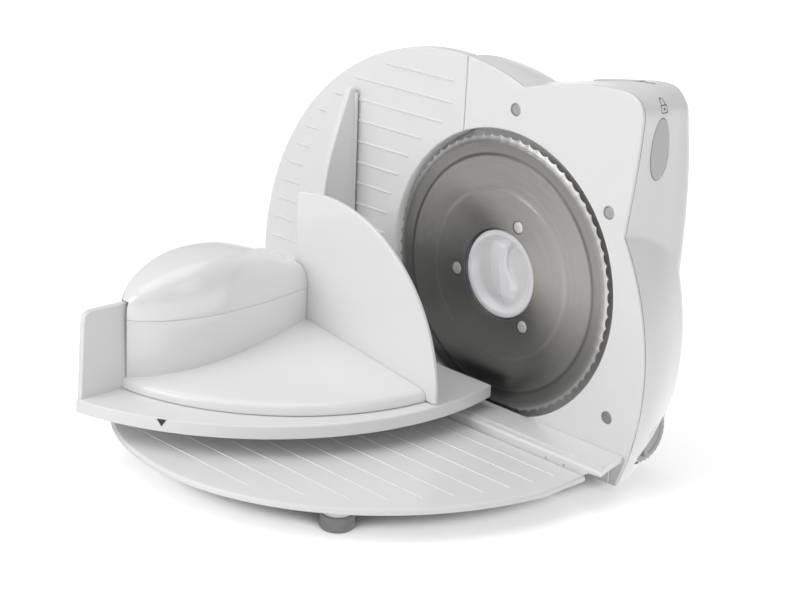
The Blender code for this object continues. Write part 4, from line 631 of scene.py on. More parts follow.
class Nodes:
    """Adds nodes to a tree and links them in the same call."""

    def __init__(self, tree: Tree) -> None:
        """Keep the tree.

        Args:
            tree: Tree that gets the nodes.
        """
        self.tree = tree

    def fill(self, node: bpy.types.Node, feeds: Feeds) -> None:
        """Link or set inputs of a node.

        Args:
            node: The node.
            feeds: Socket or constant for each input, by its name or number.
        """
        for label, item in feeds.items():
            socket = node.inputs[label]
            if isinstance(item, Socket):
                self.tree.links.new(item, socket)
            else:
                socket.default_value = item

    def node(self, kind: str, feeds: Feeds | None = None, **settings: object) -> bpy.types.Node:
        """Add a node.

        Args:
            kind: Type of the node.
            feeds: What goes into its inputs.
            settings: Properties of the node.

        Returns:
            The node.
        """
        node = self.tree.nodes.new(kind)
        for key, item in settings.items():
            setattr(node, key, item)
        self.fill(node, feeds or {})
        return node

    def out(self, kind: str, feeds: Feeds | None = None, **settings: object) -> Socket:
        """Add a node and return its first output.

        Args:
            kind: Type of the node.
            feeds: What goes into its inputs.
            settings: Properties of the node.

        Returns:
            The output's socket.
        """
        return self.node(kind, feeds, **settings).outputs[0]

    def maths(self, operation: str, *values: object) -> Socket:
        """Add a maths node.

        Args:
            operation: Blender's name of the operation.
            values: Sockets or numbers.

        Returns:
            The result's socket.
        """
        return self.out("ShaderNodeMath", dict(enumerate(values)), operation=operation)

    def vector_maths(self, operation: str, feeds: Feeds) -> Socket:
        """Add a vector maths node.

        Args:
            operation: Blender's name of the operation.
            feeds: What goes into its inputs.

        Returns:
            The result's socket.
        """
        node = self.node("ShaderNodeVectorMath", feeds, operation=operation)
        return node.outputs["Value" if operation in ("LENGTH", "DOT_PRODUCT") else "Vector"]

    def vector(self, x: object, y: object, z: object) -> Socket:
        """Join three sockets or numbers into a vector and return its socket."""
        return self.out("ShaderNodeCombineXYZ", {"X": x, "Y": y, "Z": z})

    def split(self, vector: Socket) -> Sequence[Socket]:
        """Return the sockets of a vector's three parts."""
        return self.node("ShaderNodeSeparateXYZ", {"Vector": vector}).outputs

    def leg(self, square: object, side: Socket, least: float) -> Socket:
        """Find the third side of a right triangle.

        Args:
            square: Square of the long side.
            side: Socket of one short side.
            least: Smallest square that the result may have.

        Returns:
            Socket of the other short side.
        """
        rest = self.maths("SUBTRACT", square, self.maths("MULTIPLY", side, side))
        return self.maths("SQRT", self.maths("MAXIMUM", rest, least))

    def ramp(self, value: Socket, levels: Sequence[float], smooth: bool = False) -> Socket:
        """Carry a value from one range to another.

        Args:
            value: Socket of the value.
            levels: Both ends of the first range, then both ends of the second.
            smooth: Whether the change is eased at both ends.

        Returns:
            The result's socket.
        """
        ends = dict(zip(("From Min", "From Max", "To Min", "To Max"), levels))
        return self.out("ShaderNodeMapRange", {"Value": value, **ends},
                        interpolation_type="SMOOTHSTEP" if smooth else "LINEAR")


class Group(Nodes):
    """A node group with named inputs and outputs, under construction."""

    def __init__(self, name: str, kind: str, inputs: dict[str, str], outputs: dict[str, str]) -> None:
        """Start the group.

        Args:
            name: Name of the group.
            kind: Blender's type of tree.
            inputs: Kind of value that each named input takes.
            outputs: Kind of value that each named output gives.
        """
        super().__init__(bpy.data.node_groups.new(name, kind))
        for flow, sockets in (("OUTPUT", outputs), ("INPUT", inputs)):
            for label, item in sockets.items():
                self.tree.interface.new_socket(label, in_out=flow, socket_type=f"NodeSocket{item}")
        self.source = self.tree.nodes.new("NodeGroupInput")
        self.sink = self.tree.nodes.new("NodeGroupOutput")

    def value(self, label: str) -> Socket:
        """Return the socket of a named input."""
        return self.source.outputs[label]

    def close(self, results: Feeds) -> Tree:
        """Link the outputs and end the group.

        Args:
            results: Socket that goes into each named output.

        Returns:
            The finished group.
        """
        self.fill(self.sink, results)
        return self.tree


class Growth(Group):
    """A Geometry Nodes tree whose result is real and has its material."""

    def __init__(self, name: str, inputs: dict[str, str]) -> None:
        """Start the tree.

        Args:
            name: Name of the tree.
            inputs: Kind of value that each named input takes.
        """
        sockets = {"Geometry": "Geometry", **inputs, "Finish": "Material"}
        super().__init__(name, "GeometryNodeTree", sockets, {"Geometry": "Geometry"})

    def grown(self, geometry: Socket) -> Tree:
        """Realise the instances, set the material and end the tree.

        Args:
            geometry: Socket of what was built.

        Returns:
            The finished tree.
        """
        real = self.out("GeometryNodeRealizeInstances", {"Geometry": geometry})
        dressed = self.out("GeometryNodeSetMaterial", {"Geometry": real,
                                                       "Material": self.value("Finish")})
        return self.close({"Geometry": dressed})


def grow(shape: Shape, tree: Tree, values: dict[str, object]) -> Shape:
    """Run a Geometry Nodes tree on an object and keep the plain mesh.

    Args:
        shape: Object that gets the result.
        tree: The tree.
        values: Value of each named input.

    Returns:
        The same object with its new mesh.
    """
    modifier = shape.modifiers.new("grow", "NODES")
    modifier.node_group = tree
    keys = {item.name: item.identifier for item in tree.interface.items_tree if item.in_out == "INPUT"}
    for label, item in values.items():
        modifier[keys[label]] = item
    return settle(shape)


def rib_tree() -> Tree:
    """Build the tree that lays beads across a round plate.

    Each bead runs along X between the plate's edge, a right-hand limit and a
    clear circle about the origin, and both its ends are rounded.

    Returns:
        The tree.
    """
    maker = Growth("ribs_across_a_round_plate", {"Count": "Int", **dict.fromkeys((
        "First", "Pitch", "Centre", "Half Length", "Across", "Half Reach", "Right Limit",
        "Clear Radius", "Bead Radius", "Sink"), "Float")})
    maths, value, out = maker.maths, maker.value, maker.out
    index = out("GeometryNodeInputIndex")
    level = maths("SUBTRACT", value("First"), maths("MULTIPLY", value("Pitch"), index))
    share = maths("DIVIDE", maths("SUBTRACT", level, value("Across")), value("Half Reach"))
    half = maths("MULTIPLY", value("Half Length"), maker.leg(1.0, share, 0.0))
    left = maths("SUBTRACT", value("Centre"), half)
    clear = value("Clear Radius")
    opening = maker.leg(maths("MULTIPLY", clear, clear), level, 0.0)
    inside = maths("GREATER_THAN", clear, maths("ABSOLUTE", level))
    free = maths("MULTIPLY", maths("SUBTRACT", 1.0, inside), FAR)
    edge = maths("MINIMUM", maths("ADD", value("Centre"), half), value("Right Limit"))
    right = maths("MINIMUM", edge, maths("SUBTRACT", free, opening))
    length = maths("MAXIMUM", maths("SUBTRACT", right, left), SHORTEST_RIB)
    row = out("GeometryNodeMeshLine", {"Count": value("Count"), "Offset": (0.0, 0.0, 0.0)})
    start = maker.vector(left, level, maths("MULTIPLY", value("Sink"), -1.0))
    starts = out("GeometryNodeSetPosition", {"Geometry": row, "Position": start})
    step = (1.0 / (RIB_POINTS - 1), 0.0, 0.0)
    line = out("GeometryNodeMeshLine", {"Count": RIB_POINTS, "Offset": step})
    along_line = maker.split(out("GeometryNodeInputPosition"))[0]
    wave = maths("COSINE", maths("MULTIPLY", along_line, math.pi))
    eased = maths("MULTIPLY", 0.5, maths("SUBTRACT", 1.0, wave))
    path = out("GeometryNodeSetPosition", {"Geometry": line, "Position": maker.vector(eased, 0.0, 0.0)})
    beads = out("GeometryNodeInstanceOnPoints", {
        "Points": starts, "Instance": out("GeometryNodeMeshToCurve", {"Mesh": path}),
        "Scale": maker.vector(length, 1.0, 1.0)})
    real = out("GeometryNodeRealizeInstances", {"Geometry": beads})
    gone = maker.node("GeometryNodeSplineParameter").outputs["Length"]
    total = maker.node("GeometryNodeSplineLength").outputs["Length"]
    reach = maths("MINIMUM", gone, maths("SUBTRACT", total, gone))
    near = maths("MINIMUM", maths("DIVIDE", reach, value("Bead Radius")), 1.0)
    ease = maker.leg(1.0, maths("SUBTRACT", 1.0, near), 0.01)
    radius = maths("MULTIPLY", value("Bead Radius"), ease)
    sized = out("GeometryNodeSetCurveRadius", {"Curve": real, "Radius": radius})
    profile = out("GeometryNodeCurvePrimitiveCircle", {"Resolution": 12, "Radius": 1.0})
    mesh = out("GeometryNodeCurveToMesh", {"Curve": sized, "Profile Curve": profile,
                                           "Scale": radius, "Fill Caps": True})
    return maker.grown(mesh)


def repeat_tree() -> Tree:
    """Build the tree that sets one part on every point of a mesh.

    Returns:
        The tree.
    """
    maker = Growth("same_part_on_every_point", {"Part": "Object"})
    part = maker.node("GeometryNodeObjectInfo", {"Object": maker.value("Part")},
                      transform_space="ORIGINAL")
    return maker.grown(maker.out("GeometryNodeInstanceOnPoints", {
        "Points": maker.value("Geometry"), "Instance": part.outputs["Geometry"]}))


def scallop_tree() -> Tree:
    """Build the tree that grinds scallops into a blade's outer edge.

    Returns:
        The tree.
    """
    maker = Growth("scalloped_edge", dict.fromkeys(("Count", "Depth", "Edge Radius", "Start"), "Float"))
    maths, value = maker.maths, maker.value
    x, y, z = maker.split(maker.out("GeometryNodeInputPosition"))
    radius = maths("SQRT", maths("ADD", maths("MULTIPLY", x, x), maths("MULTIPLY", z, z)))
    angle = maths("SUBTRACT", maths("ARCTAN2", z, x), value("Start"))
    turn = maths("MULTIPLY", maths("MULTIPLY", angle, value("Count")), 0.5)
    hollow = maths("POWER", maths("ABSOLUTE", maths("SINE", turn)), 0.6)
    ground = maths("DIVIDE", maths("MULTIPLY", hollow, value("Depth")), radius)
    share = maths("SUBTRACT", 1.0, ground)
    edge = maths("GREATER_THAN", radius, maths("SUBTRACT", value("Edge Radius"), 0.05))
    return maker.grown(maker.out("GeometryNodeSetPosition", {
        "Geometry": value("Geometry"), "Selection": edge,
        "Position": maker.vector(maths("MULTIPLY", x, share), y, maths("MULTIPLY", z, share))}))


@dataclass
class ShaderParts:
    """Shader node groups that several finishes share."""

    grain: Tree = field(init=False)
    rings: Tree = field(init=False)

    def __post_init__(self) -> None:
        """Build the groups once."""
        self.grain = self._grain()
        self.rings = self._rings()

    @staticmethod
    def _start(name: str) -> Group:
        """Start a group with the sockets that every pattern has.

        Args:
            name: Name of the group.

        Returns:
            The group.
        """
        numbers = dict.fromkeys(("Scale", "Mottle", "Roughness", "Spread"), "Float")
        return Group(name, "ShaderNodeTree", {"Vector": "Vector", "Colour": "Color", **numbers},
                     {"Colour": "Color", "Roughness": "Float", "Height": "Float"})

    @staticmethod
    def _finish(group: Group, noise: Socket, cloud: Socket) -> Tree:
        """Turn two noises into a colour, a roughness and a height.

        Args:
            group: Group that gets the nodes.
            noise: Fine noise from 0 to 1.
            cloud: Broad noise from 0 to 1.

        Returns:
            The finished group.
        """
        swing = group.maths("SUBTRACT", cloud, 0.5)
        gain = group.maths("MULTIPLY_ADD", swing, group.value("Mottle"), 1.0)
        rough = group.maths("MULTIPLY_ADD", swing, group.value("Spread"), group.value("Roughness"))
        tint = group.vector_maths("SCALE", {0: group.value("Colour"), "Scale": gain})
        return group.close({"Colour": tint, "Roughness": rough, "Height": noise})

    def _grain(self) -> Tree:
        """Fine moulding grain with a faint broad cloud.

        Returns:
            The group.
        """
        group = self._start("moulded_grain")
        place_now = group.value("Vector")
        fine = group.out("ShaderNodeTexNoise", {"Vector": place_now, "Detail": 3.0,
                                                "Scale": group.value("Scale")})
        broad = group.out("ShaderNodeTexNoise", {"Vector": place_now, "Detail": 4.0, "Scale": 34.0})
        return self._finish(group, fine, broad)

    def _rings(self) -> Tree:
        """Brush marks that run round an axis through the centred origin along Y.

        Returns:
            The group.
        """
        group = self._start("ring_brushing")
        x, _, z = group.split(group.value("Vector"))
        flat = group.vector(x, 0.0, z)
        size = group.maths("MULTIPLY", group.vector_maths("LENGTH", {0: flat}), group.value("Scale"))
        across, _, upwards = group.split(group.vector_maths("NORMALIZE", {0: flat}))
        polar = group.vector(size, across, upwards)
        fine = group.out("ShaderNodeTexNoise", {"Vector": polar, "Scale": 1.0, "Detail": 5.0,
                                                "Roughness": 0.65})
        broad = group.out("ShaderNodeTexNoise", {"Vector": polar, "Scale": 0.22, "Detail": 2.0})
        cloud = group.maths("MULTIPLY_ADD", broad, 0.5, group.maths("MULTIPLY", fine, 0.5))
        return self._finish(group, fine, cloud)


def painted(name: str) -> tuple[bpy.types.Material, Nodes, bpy.types.Node]:
    """Start a material.

    Args:
        name: Name of the material.

    Returns:
        The material, the maker of its nodes and its Principled node.
    """
    material = bpy.data.materials.new(name)
    material.use_nodes = True
    return material, Nodes(material.node_tree), material.node_tree.nodes["Principled BSDF"]


class Pattern(Enum):
    """Shared group that a finish takes its marks from."""

    GRAIN = "grain"
    RINGS = "rings"


@dataclass(frozen=True)
class Finish:
    """One surface finish with its colour, gloss and marks."""

    name: str
    colour: Point
    roughness: float
    scale: float = 900.0
    mottle: float = 0.03
    spread: float = 0.06
    depth: float = 0.02
    metallic: float = 0.0
    coat: float = 0.0
    specular: float = 0.5
    anisotropy: float = 0.0
    subsurface: float = 0.0
    pattern: Pattern = Pattern.GRAIN
    centre: Point = (0.0, 0.0, 0.0)
    stretch: Point = (1.0, 1.0, 1.0)
    dish: float = 0.0
    # Rings of painted highlight and painted shade, as (radius, colour gain)
    painted_light_bands: Flats = ()

    def with_painted_light(self, maker: Nodes, colour: Socket, away: Socket) -> Socket:
        """Paint highlight and shade into a colour in rings about the centre.

        Args:
            maker: Maker of the material's nodes.
            colour: Socket of the colour.
            away: Socket of the distance from the centre.

        Returns:
            Socket of the colour with its painted highlight and shade.
        """
        size = self.painted_light_bands[-1][0]
        ramp = maker.node("ShaderNodeValToRGB", {0: maker.maths("DIVIDE", away, size)})
        stops = ramp.color_ramp.elements
        for index, (radius, gain) in enumerate(self.painted_light_bands):
            stop = stops[index] if index < 2 else stops.new(radius / size)
            stop.position = radius / size
            stop.color = (gain, gain, gain, 1.0)
        return maker.vector_maths("MULTIPLY", {0: colour, 1: ramp.outputs["Color"]})

    def material(self, parts: ShaderParts) -> bpy.types.Material:
        """Build the material.

        Args:
            parts: Shared shader groups.

        Returns:
            A Principled material with procedural marks.
        """
        material, maker, shader = painted(self.name)
        shift = [-c * s for c, s in zip(self.centre, self.stretch)]
        place_now = maker.node("ShaderNodeTexCoord").outputs["Object"]
        centred = maker.out("ShaderNodeMapping", {"Vector": place_now, "Location": shift,
                                                  "Scale": self.stretch}, vector_type="POINT")
        marks = maker.node("ShaderNodeGroup", {
            "Vector": centred, "Colour": (*self.colour, 1.0), "Scale": self.scale,
            "Mottle": self.mottle, "Roughness": self.roughness, "Spread": self.spread},
            node_tree=parts.rings if self.pattern is Pattern.RINGS else parts.grain).outputs
        colour = marks["Colour"]
        relief = {"Strength": self.depth, "Distance": MM, "Height": marks["Height"]}
        # Painted light: rings of highlight and shade in the colour; the dish bump only tilts the normals
        if self.painted_light_bands:
            away = maker.vector_maths("LENGTH", {0: centred})
            colour = self.with_painted_light(maker, colour, away)
            relief["Normal"] = maker.out("ShaderNodeBump", {
                "Strength": 1.0, "Distance": self.dish, "Height": away}, invert=True)
        maker.fill(shader, {"Base Color": colour, "Roughness": marks["Roughness"],
            "Normal": maker.out("ShaderNodeBump", relief), "Metallic": self.metallic,
            "Coat Weight": self.coat, "Coat Roughness": 0.12, "Specular IOR Level": self.specular})
        if self.subsurface:
            maker.fill(shader, {"Subsurface Weight": self.subsurface, "Subsurface Scale": 1.0,
                                "Subsurface Radius": (0.004, 0.004, 0.005)})
        if self.anisotropy:
            round_axis = maker.out("ShaderNodeTangent", direction_type="RADIAL", axis="Y")
            maker.fill(shader, {"Anisotropic": self.anisotropy, "Tangent": round_axis})
        return material


BLADE_AXIS = (0.049, 0.080, 0.108)
# Colour gain by radius in metres for the blade's painted light: a painted highlight on the halo near 52
# mm, painted shade in the groove near 72 mm and just outside it, and a painted highlight on the ground
# edge bevel
BLADE_PAINTED_LIGHT_BANDS = ((0.0, 1.0), (0.0500, 1.0), (0.0520, 1.15), (0.0535, 1.0), (0.0712, 1.0),
               (0.0722, 0.5), (0.0731, 0.5), (0.0741, 0.8), (0.0790, 0.8), (0.0797, 0.9),
               (0.0812, 1.0), (0.0822, 1.7), (0.0900, 1.9))


class Finishes:
    """All finishes of the slicer, by the record's slot names."""

    def __init__(self) -> None:
        """Build every material once."""
        parts = ShaderParts()
        listed = (
            Finish("housing_white", (0.80, 0.80, 0.80), 0.36, coat=0.15),
            Finish("holder_white", (0.82, 0.82, 0.825), 0.24, coat=0.35, depth=0.008),
            Finish("lid_white", (0.83, 0.83, 0.835), 0.14, coat=0.6, depth=0.004),
            Finish("blade_steel", (0.22, 0.217, 0.212), 0.25, scale=5200.0, mottle=0.45,
                   spread=0.12, depth=0.10, metallic=1.0, anisotropy=0.6,
                   pattern=Pattern.RINGS, centre=BLADE_AXIS, dish=0.17, painted_light_bands=BLADE_PAINTED_LIGHT_BANDS),
            Finish("zinc_plate", (0.46, 0.47, 0.49), 0.38, scale=500.0, mottle=0.2, spread=0.12,
                   metallic=1.0, stretch=(1.0, 1.0, 6.0)),
            Finish("steel_rod", (0.42, 0.43, 0.45), 0.26, scale=700.0, mottle=0.15, spread=0.1,
                   metallic=1.0, stretch=(8.0, 1.0, 1.0)),
            Finish("screw_zinc", (0.30, 0.30, 0.31), 0.36, scale=1400.0, mottle=0.3, spread=0.1,
                   metallic=0.9),
            Finish("dark_plastic", (0.012, 0.012, 0.013), 0.5, mottle=0.3, depth=0.06),
            Finish("ferrite", (0.024, 0.024, 0.026), 0.7, scale=1500.0, mottle=0.5, depth=0.15),
            Finish("carbon", (0.008, 0.008, 0.008), 0.55, scale=1800.0, mottle=0.4, depth=0.1),
            Finish("grey_rubber", (0.30, 0.30, 0.30), 0.72, scale=1600.0, mottle=0.12,
                   depth=0.12, specular=0.3),
            Finish("pale_plastic", (0.50, 0.50, 0.51), 0.42, mottle=0.05),
            Finish("gear_plastic", (0.62, 0.58, 0.46), 0.42, mottle=0.06),
            Finish("knob_plastic", (0.80, 0.79, 0.82), 0.18, coat=0.5, subsurface=0.35, depth=0.006),
            Finish("copper", (0.48, 0.18, 0.07), 0.32, mottle=0.25, metallic=1.0),
            Finish("button_grey", (0.53, 0.53, 0.535), 0.42, mottle=0.05, depth=0.04),
            Finish("dial_grey", (0.43, 0.43, 0.435), 0.45, mottle=0.06, depth=0.05),
            Finish("slide_grey", (0.60, 0.60, 0.605), 0.42, mottle=0.04, depth=0.03),
            Finish("symbol_grey", (0.16, 0.16, 0.17), 0.5, mottle=0.08),
            Finish("marker_black", (0.01, 0.01, 0.01), 0.5, mottle=0.2),
            Finish("rivet_pale", (0.62, 0.61, 0.60), 0.38, mottle=0.12, metallic=0.7))
        self.made = {item.name: item.material(parts) for item in listed}

    def get(self, name: str) -> bpy.types.Material:
        """Return a material by name."""
        return self.made[name]


class Workshop:
    """Dresses finished shapes, moves them into the imported model's frame and attaches them to their
    bodies.
    """

    def __init__(self, finishes: Finishes) -> None:
        """Keep the finishes and build the repeat trees.

        Args:
            finishes: The materials.
        """
        self.finishes = finishes
        self.ribs = rib_tree()
        self.repeat = repeat_tree()
        self.scallops = scallop_tree()

    def publish(self, shape: Shape, name: str, body: str, finish: str,
                nodes: Sequence[str] = (), crease: float = 0.7,
                flat: bool = True) -> Shape:
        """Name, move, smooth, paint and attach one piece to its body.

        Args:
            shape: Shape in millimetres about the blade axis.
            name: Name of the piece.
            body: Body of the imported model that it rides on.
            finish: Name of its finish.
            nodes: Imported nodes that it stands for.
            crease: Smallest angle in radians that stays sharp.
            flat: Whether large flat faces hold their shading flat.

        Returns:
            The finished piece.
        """
        shape.name = name
        shape.data.name = name
        shape.data.transform(Matrix.Scale(MM, 4) @ Matrix.Translation(PLACE))
        shape.data.shade_smooth()
        shape.data.set_sharp_from_angle(angle=crease)
        if flat:
            modifier = shape.modifiers.new("even", "WEIGHTED_NORMAL")
            modifier.keep_sharp = True
            settle(shape)
            shape.data.name = name
        shape.data.materials.clear()
        shape.data.materials.append(self.finishes.get(finish))
        if nodes:
            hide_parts(*nodes)
        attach(shape, body)
        LOG.info("%s rides on %s with %d faces", name, body, len(shape.data.polygons))
        return shape

    def spread(self, part: Shape, points: Sequence[Point], finish: str) -> Shape:
        """Set a part on every point through Geometry Nodes.

        Args:
            part: The part about its own origin, used up.
            points: Places for it.
            finish: Name of its finish.

        Returns:
            One mesh that holds every copy.
        """
        mesh = bpy.data.meshes.new("points")
        mesh.from_pydata([tuple(p) for p in points], [], [])
        holder = grow(linked("points", mesh), self.repeat,
                      {"Part": part, "Finish": self.finishes.get(finish)})
        bpy.data.objects.remove(part)
        return holder

    def beads(self, name: str, body: str, values: dict[str, float], turn: Matrix) -> None:
        """Grow the ribs of a round plate and attach them to their body.

        Args:
            name: Name of the piece.
            body: Body that it rides on.
            values: Value of each named input of the rib tree.
            turn: Move from the tree's own plane onto the plate.
        """
        ribs = grow(linked("shape", bpy.data.meshes.new("shape")), self.ribs,
                    {**values, "Finish": self.finishes.get("housing_white")})
        ribs.data.transform(turn)
        self.publish(ribs, name, body, "housing_white", flat=False)

    def dress(self) -> None:
        """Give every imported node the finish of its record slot."""
        slots = {item["node"]: item["material_slot"] for item in frame["record"]["subparts"]}
        for name, item in frame["nodes"].items():
            item.data.materials.clear()
            item.data.materials.append(self.finishes.get(slots[name]))
        LOG.info("dressed %d packed nodes", len(slots))

    def softened(self, node: str, name: str, body: str, finish: str, width: float,
                 *tools: Shape) -> None:
        """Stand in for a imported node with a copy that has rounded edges.

        Args:
            node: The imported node.
            name: Name of the piece.
            body: Body that it rides on.
            finish: Name of its finish.
            width: Width of the rounding in millimetres.
            tools: Shapes that are cut away first, used up.
        """
        mesh = frame["nodes"][node].data.copy()
        with editing(mesh) as work:
            bmesh.ops.remove_doubles(work, verts=work.verts, dist=0.000002)
            bmesh.ops.dissolve_limit(work, angle_limit=0.01, verts=work.verts, edges=work.edges)
        mesh.transform(Matrix.Translation(-PLACE) @ Matrix.Scale(1 / MM, 4))
        shape = bevelled(cut(linked(name, mesh), *tools), width, 2, 0.6)
        self.publish(shape, name, body, finish, (node,))


@dataclass
class Housing:
    """Motor housing with its front panel, screws and printed symbols."""

    disc: Flat = (-49.0, -38.0)
    disc_radius: float = 164.44
    rim_inset: float = 1.1
    rim_lift: float = 12.2
    rear_drop: float = 22.8
    seam_x: float = -35.5
    chord_z: float = -102.0
    panel_edge: float = 1.5
    panel_round: float = 1.0
    parting_gap: float = 0.6
    depth: float = 54.0
    wall: float = 2.5
    well_radius: float = 88.0
    well_depth: float = 10.0
    well_wall: float = 2.0
    hub_radius: float = 16.0
    dial: Flat = (22.0, -74.0)
    pocket_radius: float = 18.7
    pocket_floor: float = 96.8
    pocket_face: float = 104.5
    pocket_cover: float = 105.6
    pocket_edge: Flats = (
        (50.0, -64.0), (42.5, -69.7), (39.0, -73.9), (33.9, -78.2), (25.2, -80.8),
        (20.0, -84.1), (19.0, -88.0), (21.0, -92.4), (60.0, -92.4), (60.0, -64.0))
    lock: Flat = (19.0, 95.0)
    lobe: Flats = (
        (2.0, 114.1), (38.1, 122.7), (50.6, 125.0), (69.7, 127.2), (82.0, 127.4), (88.8, 126.2),
        (94.5, 122.6), (97.2, 116.7), (97.0, 101.8), (95.3, 80.9), (93.0, 59.6), (89.6, 30.0))
    screws: Flats = ((4.4, 101.4), (79.1, 57.3), (90.7, -62.7), (20.0, -92.0))
    draft: float = 22.0
    lobe_draft: float = 12.0
    fit: float = 0.3
    rounding: float = 1.0
    lip_width: float = 1.5
    lip_depth: float = 5.0
    lip_lift: float = 0.9
    face_depth: float = 2.5
    pocket_wall: float = 2.0
    boss: Flat = (70.0, 32.0)
    boss_radius: float = 9.0
    boss_low: float = -101.0
    shaft_bore: float = 2.8
    shaft_end: float = 97.5
    cable_bore: float = 6.0
    cable: Flat = (30.0, -60.0)
    lock_half: Flat = (8.2, 17.9)
    lock_floor: float = 90.5
    slide_mouth: tuple[Flat, Flat, Flat] = ((46.4, 57.6), (29.4, 41.6), (117.4, 129.2))
    vents_x: Flat = (37.0, 67.0)
    vents_z: float = 58.0
    vent_half: float = 1.5
    vent_pitch: float = 8.0
    vents: int = 6
    padlock: Flat = (21.2, 118.4)
    slide_mark: Flat = (74.5, 33.0)
    rear_shifts: Row = (1.2, -0.1, 0.06, 1.3, 0.6, -2.4, -4.4, -3.4, -0.4, 4.3, 8.1,
                                      11.6)
    depth_shares: Row = (0, 0.229, 0.461, 0.69, 0.845, 0.932, 0.98, 1)
    disc_shares: Row = (0, 0.027, 0.12, 0.27, 0.4, 0.616, 0.803, 1)
    lobe_shares: Row = (0, 0.046, 0.061, 0.17, 0.21, 0.408, 0.703, 1)
    belly_shares: Row = (0, 0.07, 0.43, 0.66, 0.77, 0.84, 0.91, 1)

    @staticmethod
    def disc_hit(start: Flat, end: Flat, centre: Flat, radius: float) -> Flat:
        """Find where a line crosses a disc.

        Args:
            start: One point of the line.
            end: Another point of the line.
            centre: Centre of the disc.
            radius: Radius of the disc.

        Returns:
            The crossing nearest to the middle of the two points.
        """
        first = Vector(start) - Vector(centre)
        step = Vector(end) - Vector(start)
        a, b = step.dot(step), 2 * first.dot(step)
        root = math.sqrt(b * b - 4 * a * (first.dot(first) - radius * radius))
        share = min(((-b - root) / (2 * a), (-b + root) / (2 * a)), key=lambda t: abs(t - 0.5))
        return tuple(Vector(start) + step * share)

    def drafted(self, reach: float) -> list[Flat]:
        """Lobe points with the draft that they have at a share of the depth.

        Args:
            reach: Share of the depth from the face.

        Returns:
            The points; the waist gets fuller and sinks towards the back.
        """
        points = []
        last = len(self.lobe) - 1
        for index, shift in enumerate(self.rear_shifts):
            run = (Vector(self.lobe[min(index + 1, last)])
                   - Vector(self.lobe[max(index - 1, 0)])).normalized()
            x, z = self.lobe[index]
            points.append((x - run.y * shift * reach, z + run.x * shift * reach))
        points[-1] = (points[-1][0], points[-1][1] - self.rear_drop * reach)
        return points

    def outline(self, disc_inset: float, lobe_inset: float, belly_inset: float,
                seam_inset: float, reach: float = 0.0) -> list[Flat]:
        """Outline of the housing face, counter-clockwise from the front.

        Args:
            disc_inset: Inset of the disc's edge.
            lobe_inset: Inset of the motor lobe.
            belly_inset: Rise of the bottom edge.
            seam_inset: Inset of the seam beside the stop plate.
            reach: Share of the depth from the face.

        Returns:
            The outline.
        """
        radius = self.disc_radius - disc_inset
        rim_radius = radius - self.rim_inset
        middle = (self.disc[0], self.disc[1] + self.rim_lift * reach)
        bottom = self.chord_z + belly_inset
        left = self.seam_x + seam_inset
        lobe = offset_line(self.drafted(reach), lobe_inset)
        low = self.disc_hit(lobe[-1], lobe[-2], middle, rim_radius)
        top = self.disc_hit(lobe[0], lobe[1], self.disc, radius)
        corner = math.asin((bottom - middle[1]) / rim_radius)
        crown = math.acos((left - self.disc[0]) / radius)
        waist = math.atan2(low[1] - middle[1], low[0] - middle[0])
        brow = math.atan2(top[1] - self.disc[1], top[0] - self.disc[0])
        rim = arc(middle, rim_radius, corner, waist, 48)
        edge = smooth_line([low, *lobe[-2:0:-1], top], 6)
        crest = arc(self.disc, radius, brow, crown, 12)
        return [(left, bottom), *rim, *edge[1:-1], *crest]

    def sections(self, wall: float, front: float, depth: float, steps: int) -> list[list[Point]]:
        """Rings of the rear shell from front to back.

        Args:
            wall: Even inset.
            front: Y of the first ring.
            depth: Y of the last ring.
            steps: Rings in each span of the tables.

        Returns:
            The rings.
        """
        rings = []
        last = len(self.depth_shares) - 1
        for step in range(last * steps + 1):
            u = step / steps
            share = along(self.depth_shares, u)
            outline = self.outline(self.draft * along(self.disc_shares, u) + wall,
                                   self.lobe_draft * along(self.lobe_shares, u) + wall,
                                   self.draft * along(self.belly_shares, u) + wall, wall, share)
            rings.append(lay(Axis.Y, outline, front + (depth - front) * share))
        return rings

    def panel(self) -> Shape:
        """Flat front plate with the blade well, its hub opening and its screw seats.

        Returns:
            The plate.
        """
        lip = self.wall + self.fit
        inner = lip + self.lip_width
        levels = [*quarter(self.panel_round, 5), (self.panel_edge, 0.0), (self.panel_edge, lip),
                  (self.lip_depth, lip), (self.lip_depth, inner), (self.face_depth, inner)]
        rings = []
        for level, inset in levels:
            belly = inset + (self.lip_lift if inset >= lip else 0.0)
            rings.append(lay(Axis.Y, self.outline(inset, inset, belly, inset), level))
        body = loft(rings)
        pan = self.well_depth + self.well_wall
        add(body, rod(Axis.Y, (0, 0), self.well_radius + self.well_wall, self.panel_edge, pan, 144, 0.6))
        mouth = [(0, -OVER), (self.well_radius + self.rounding, -OVER)]
        mouth += [(self.well_radius + inset, level) for level, inset in quarter(self.rounding, 5)]
        mouth += [(self.well_radius, self.well_depth - 0.8),
                  (self.well_radius - 0.8, self.well_depth), (0, self.well_depth)]
        pocket = self.pocket_wall + self.fit
        cut(body, turned(Axis.Y, (0, 0), mouth, 160),
            rod(Axis.Y, (0, 0), self.hub_radius, 0.0, pan + OVER, 64),
            block((self.seam_x - 160, self.seam_x), (-OVER, self.depth), (-160, 160)),
            rod(Axis.X, self.dial, self.pocket_radius + pocket, self.pocket_floor - pocket,
                self.disc_radius, 64))
        seat = [(0, -OVER), (4.3, -OVER), (4.3, 0.0), (3.8, 0.5), (3.8, 2.1), (0, 2.1)]
        for centre in self.screws:
            cut(body, turned(Axis.Y, centre, seat, 32), rod(Axis.Y, centre, 1.7, 0.0, 2.5 + OVER))
        return body

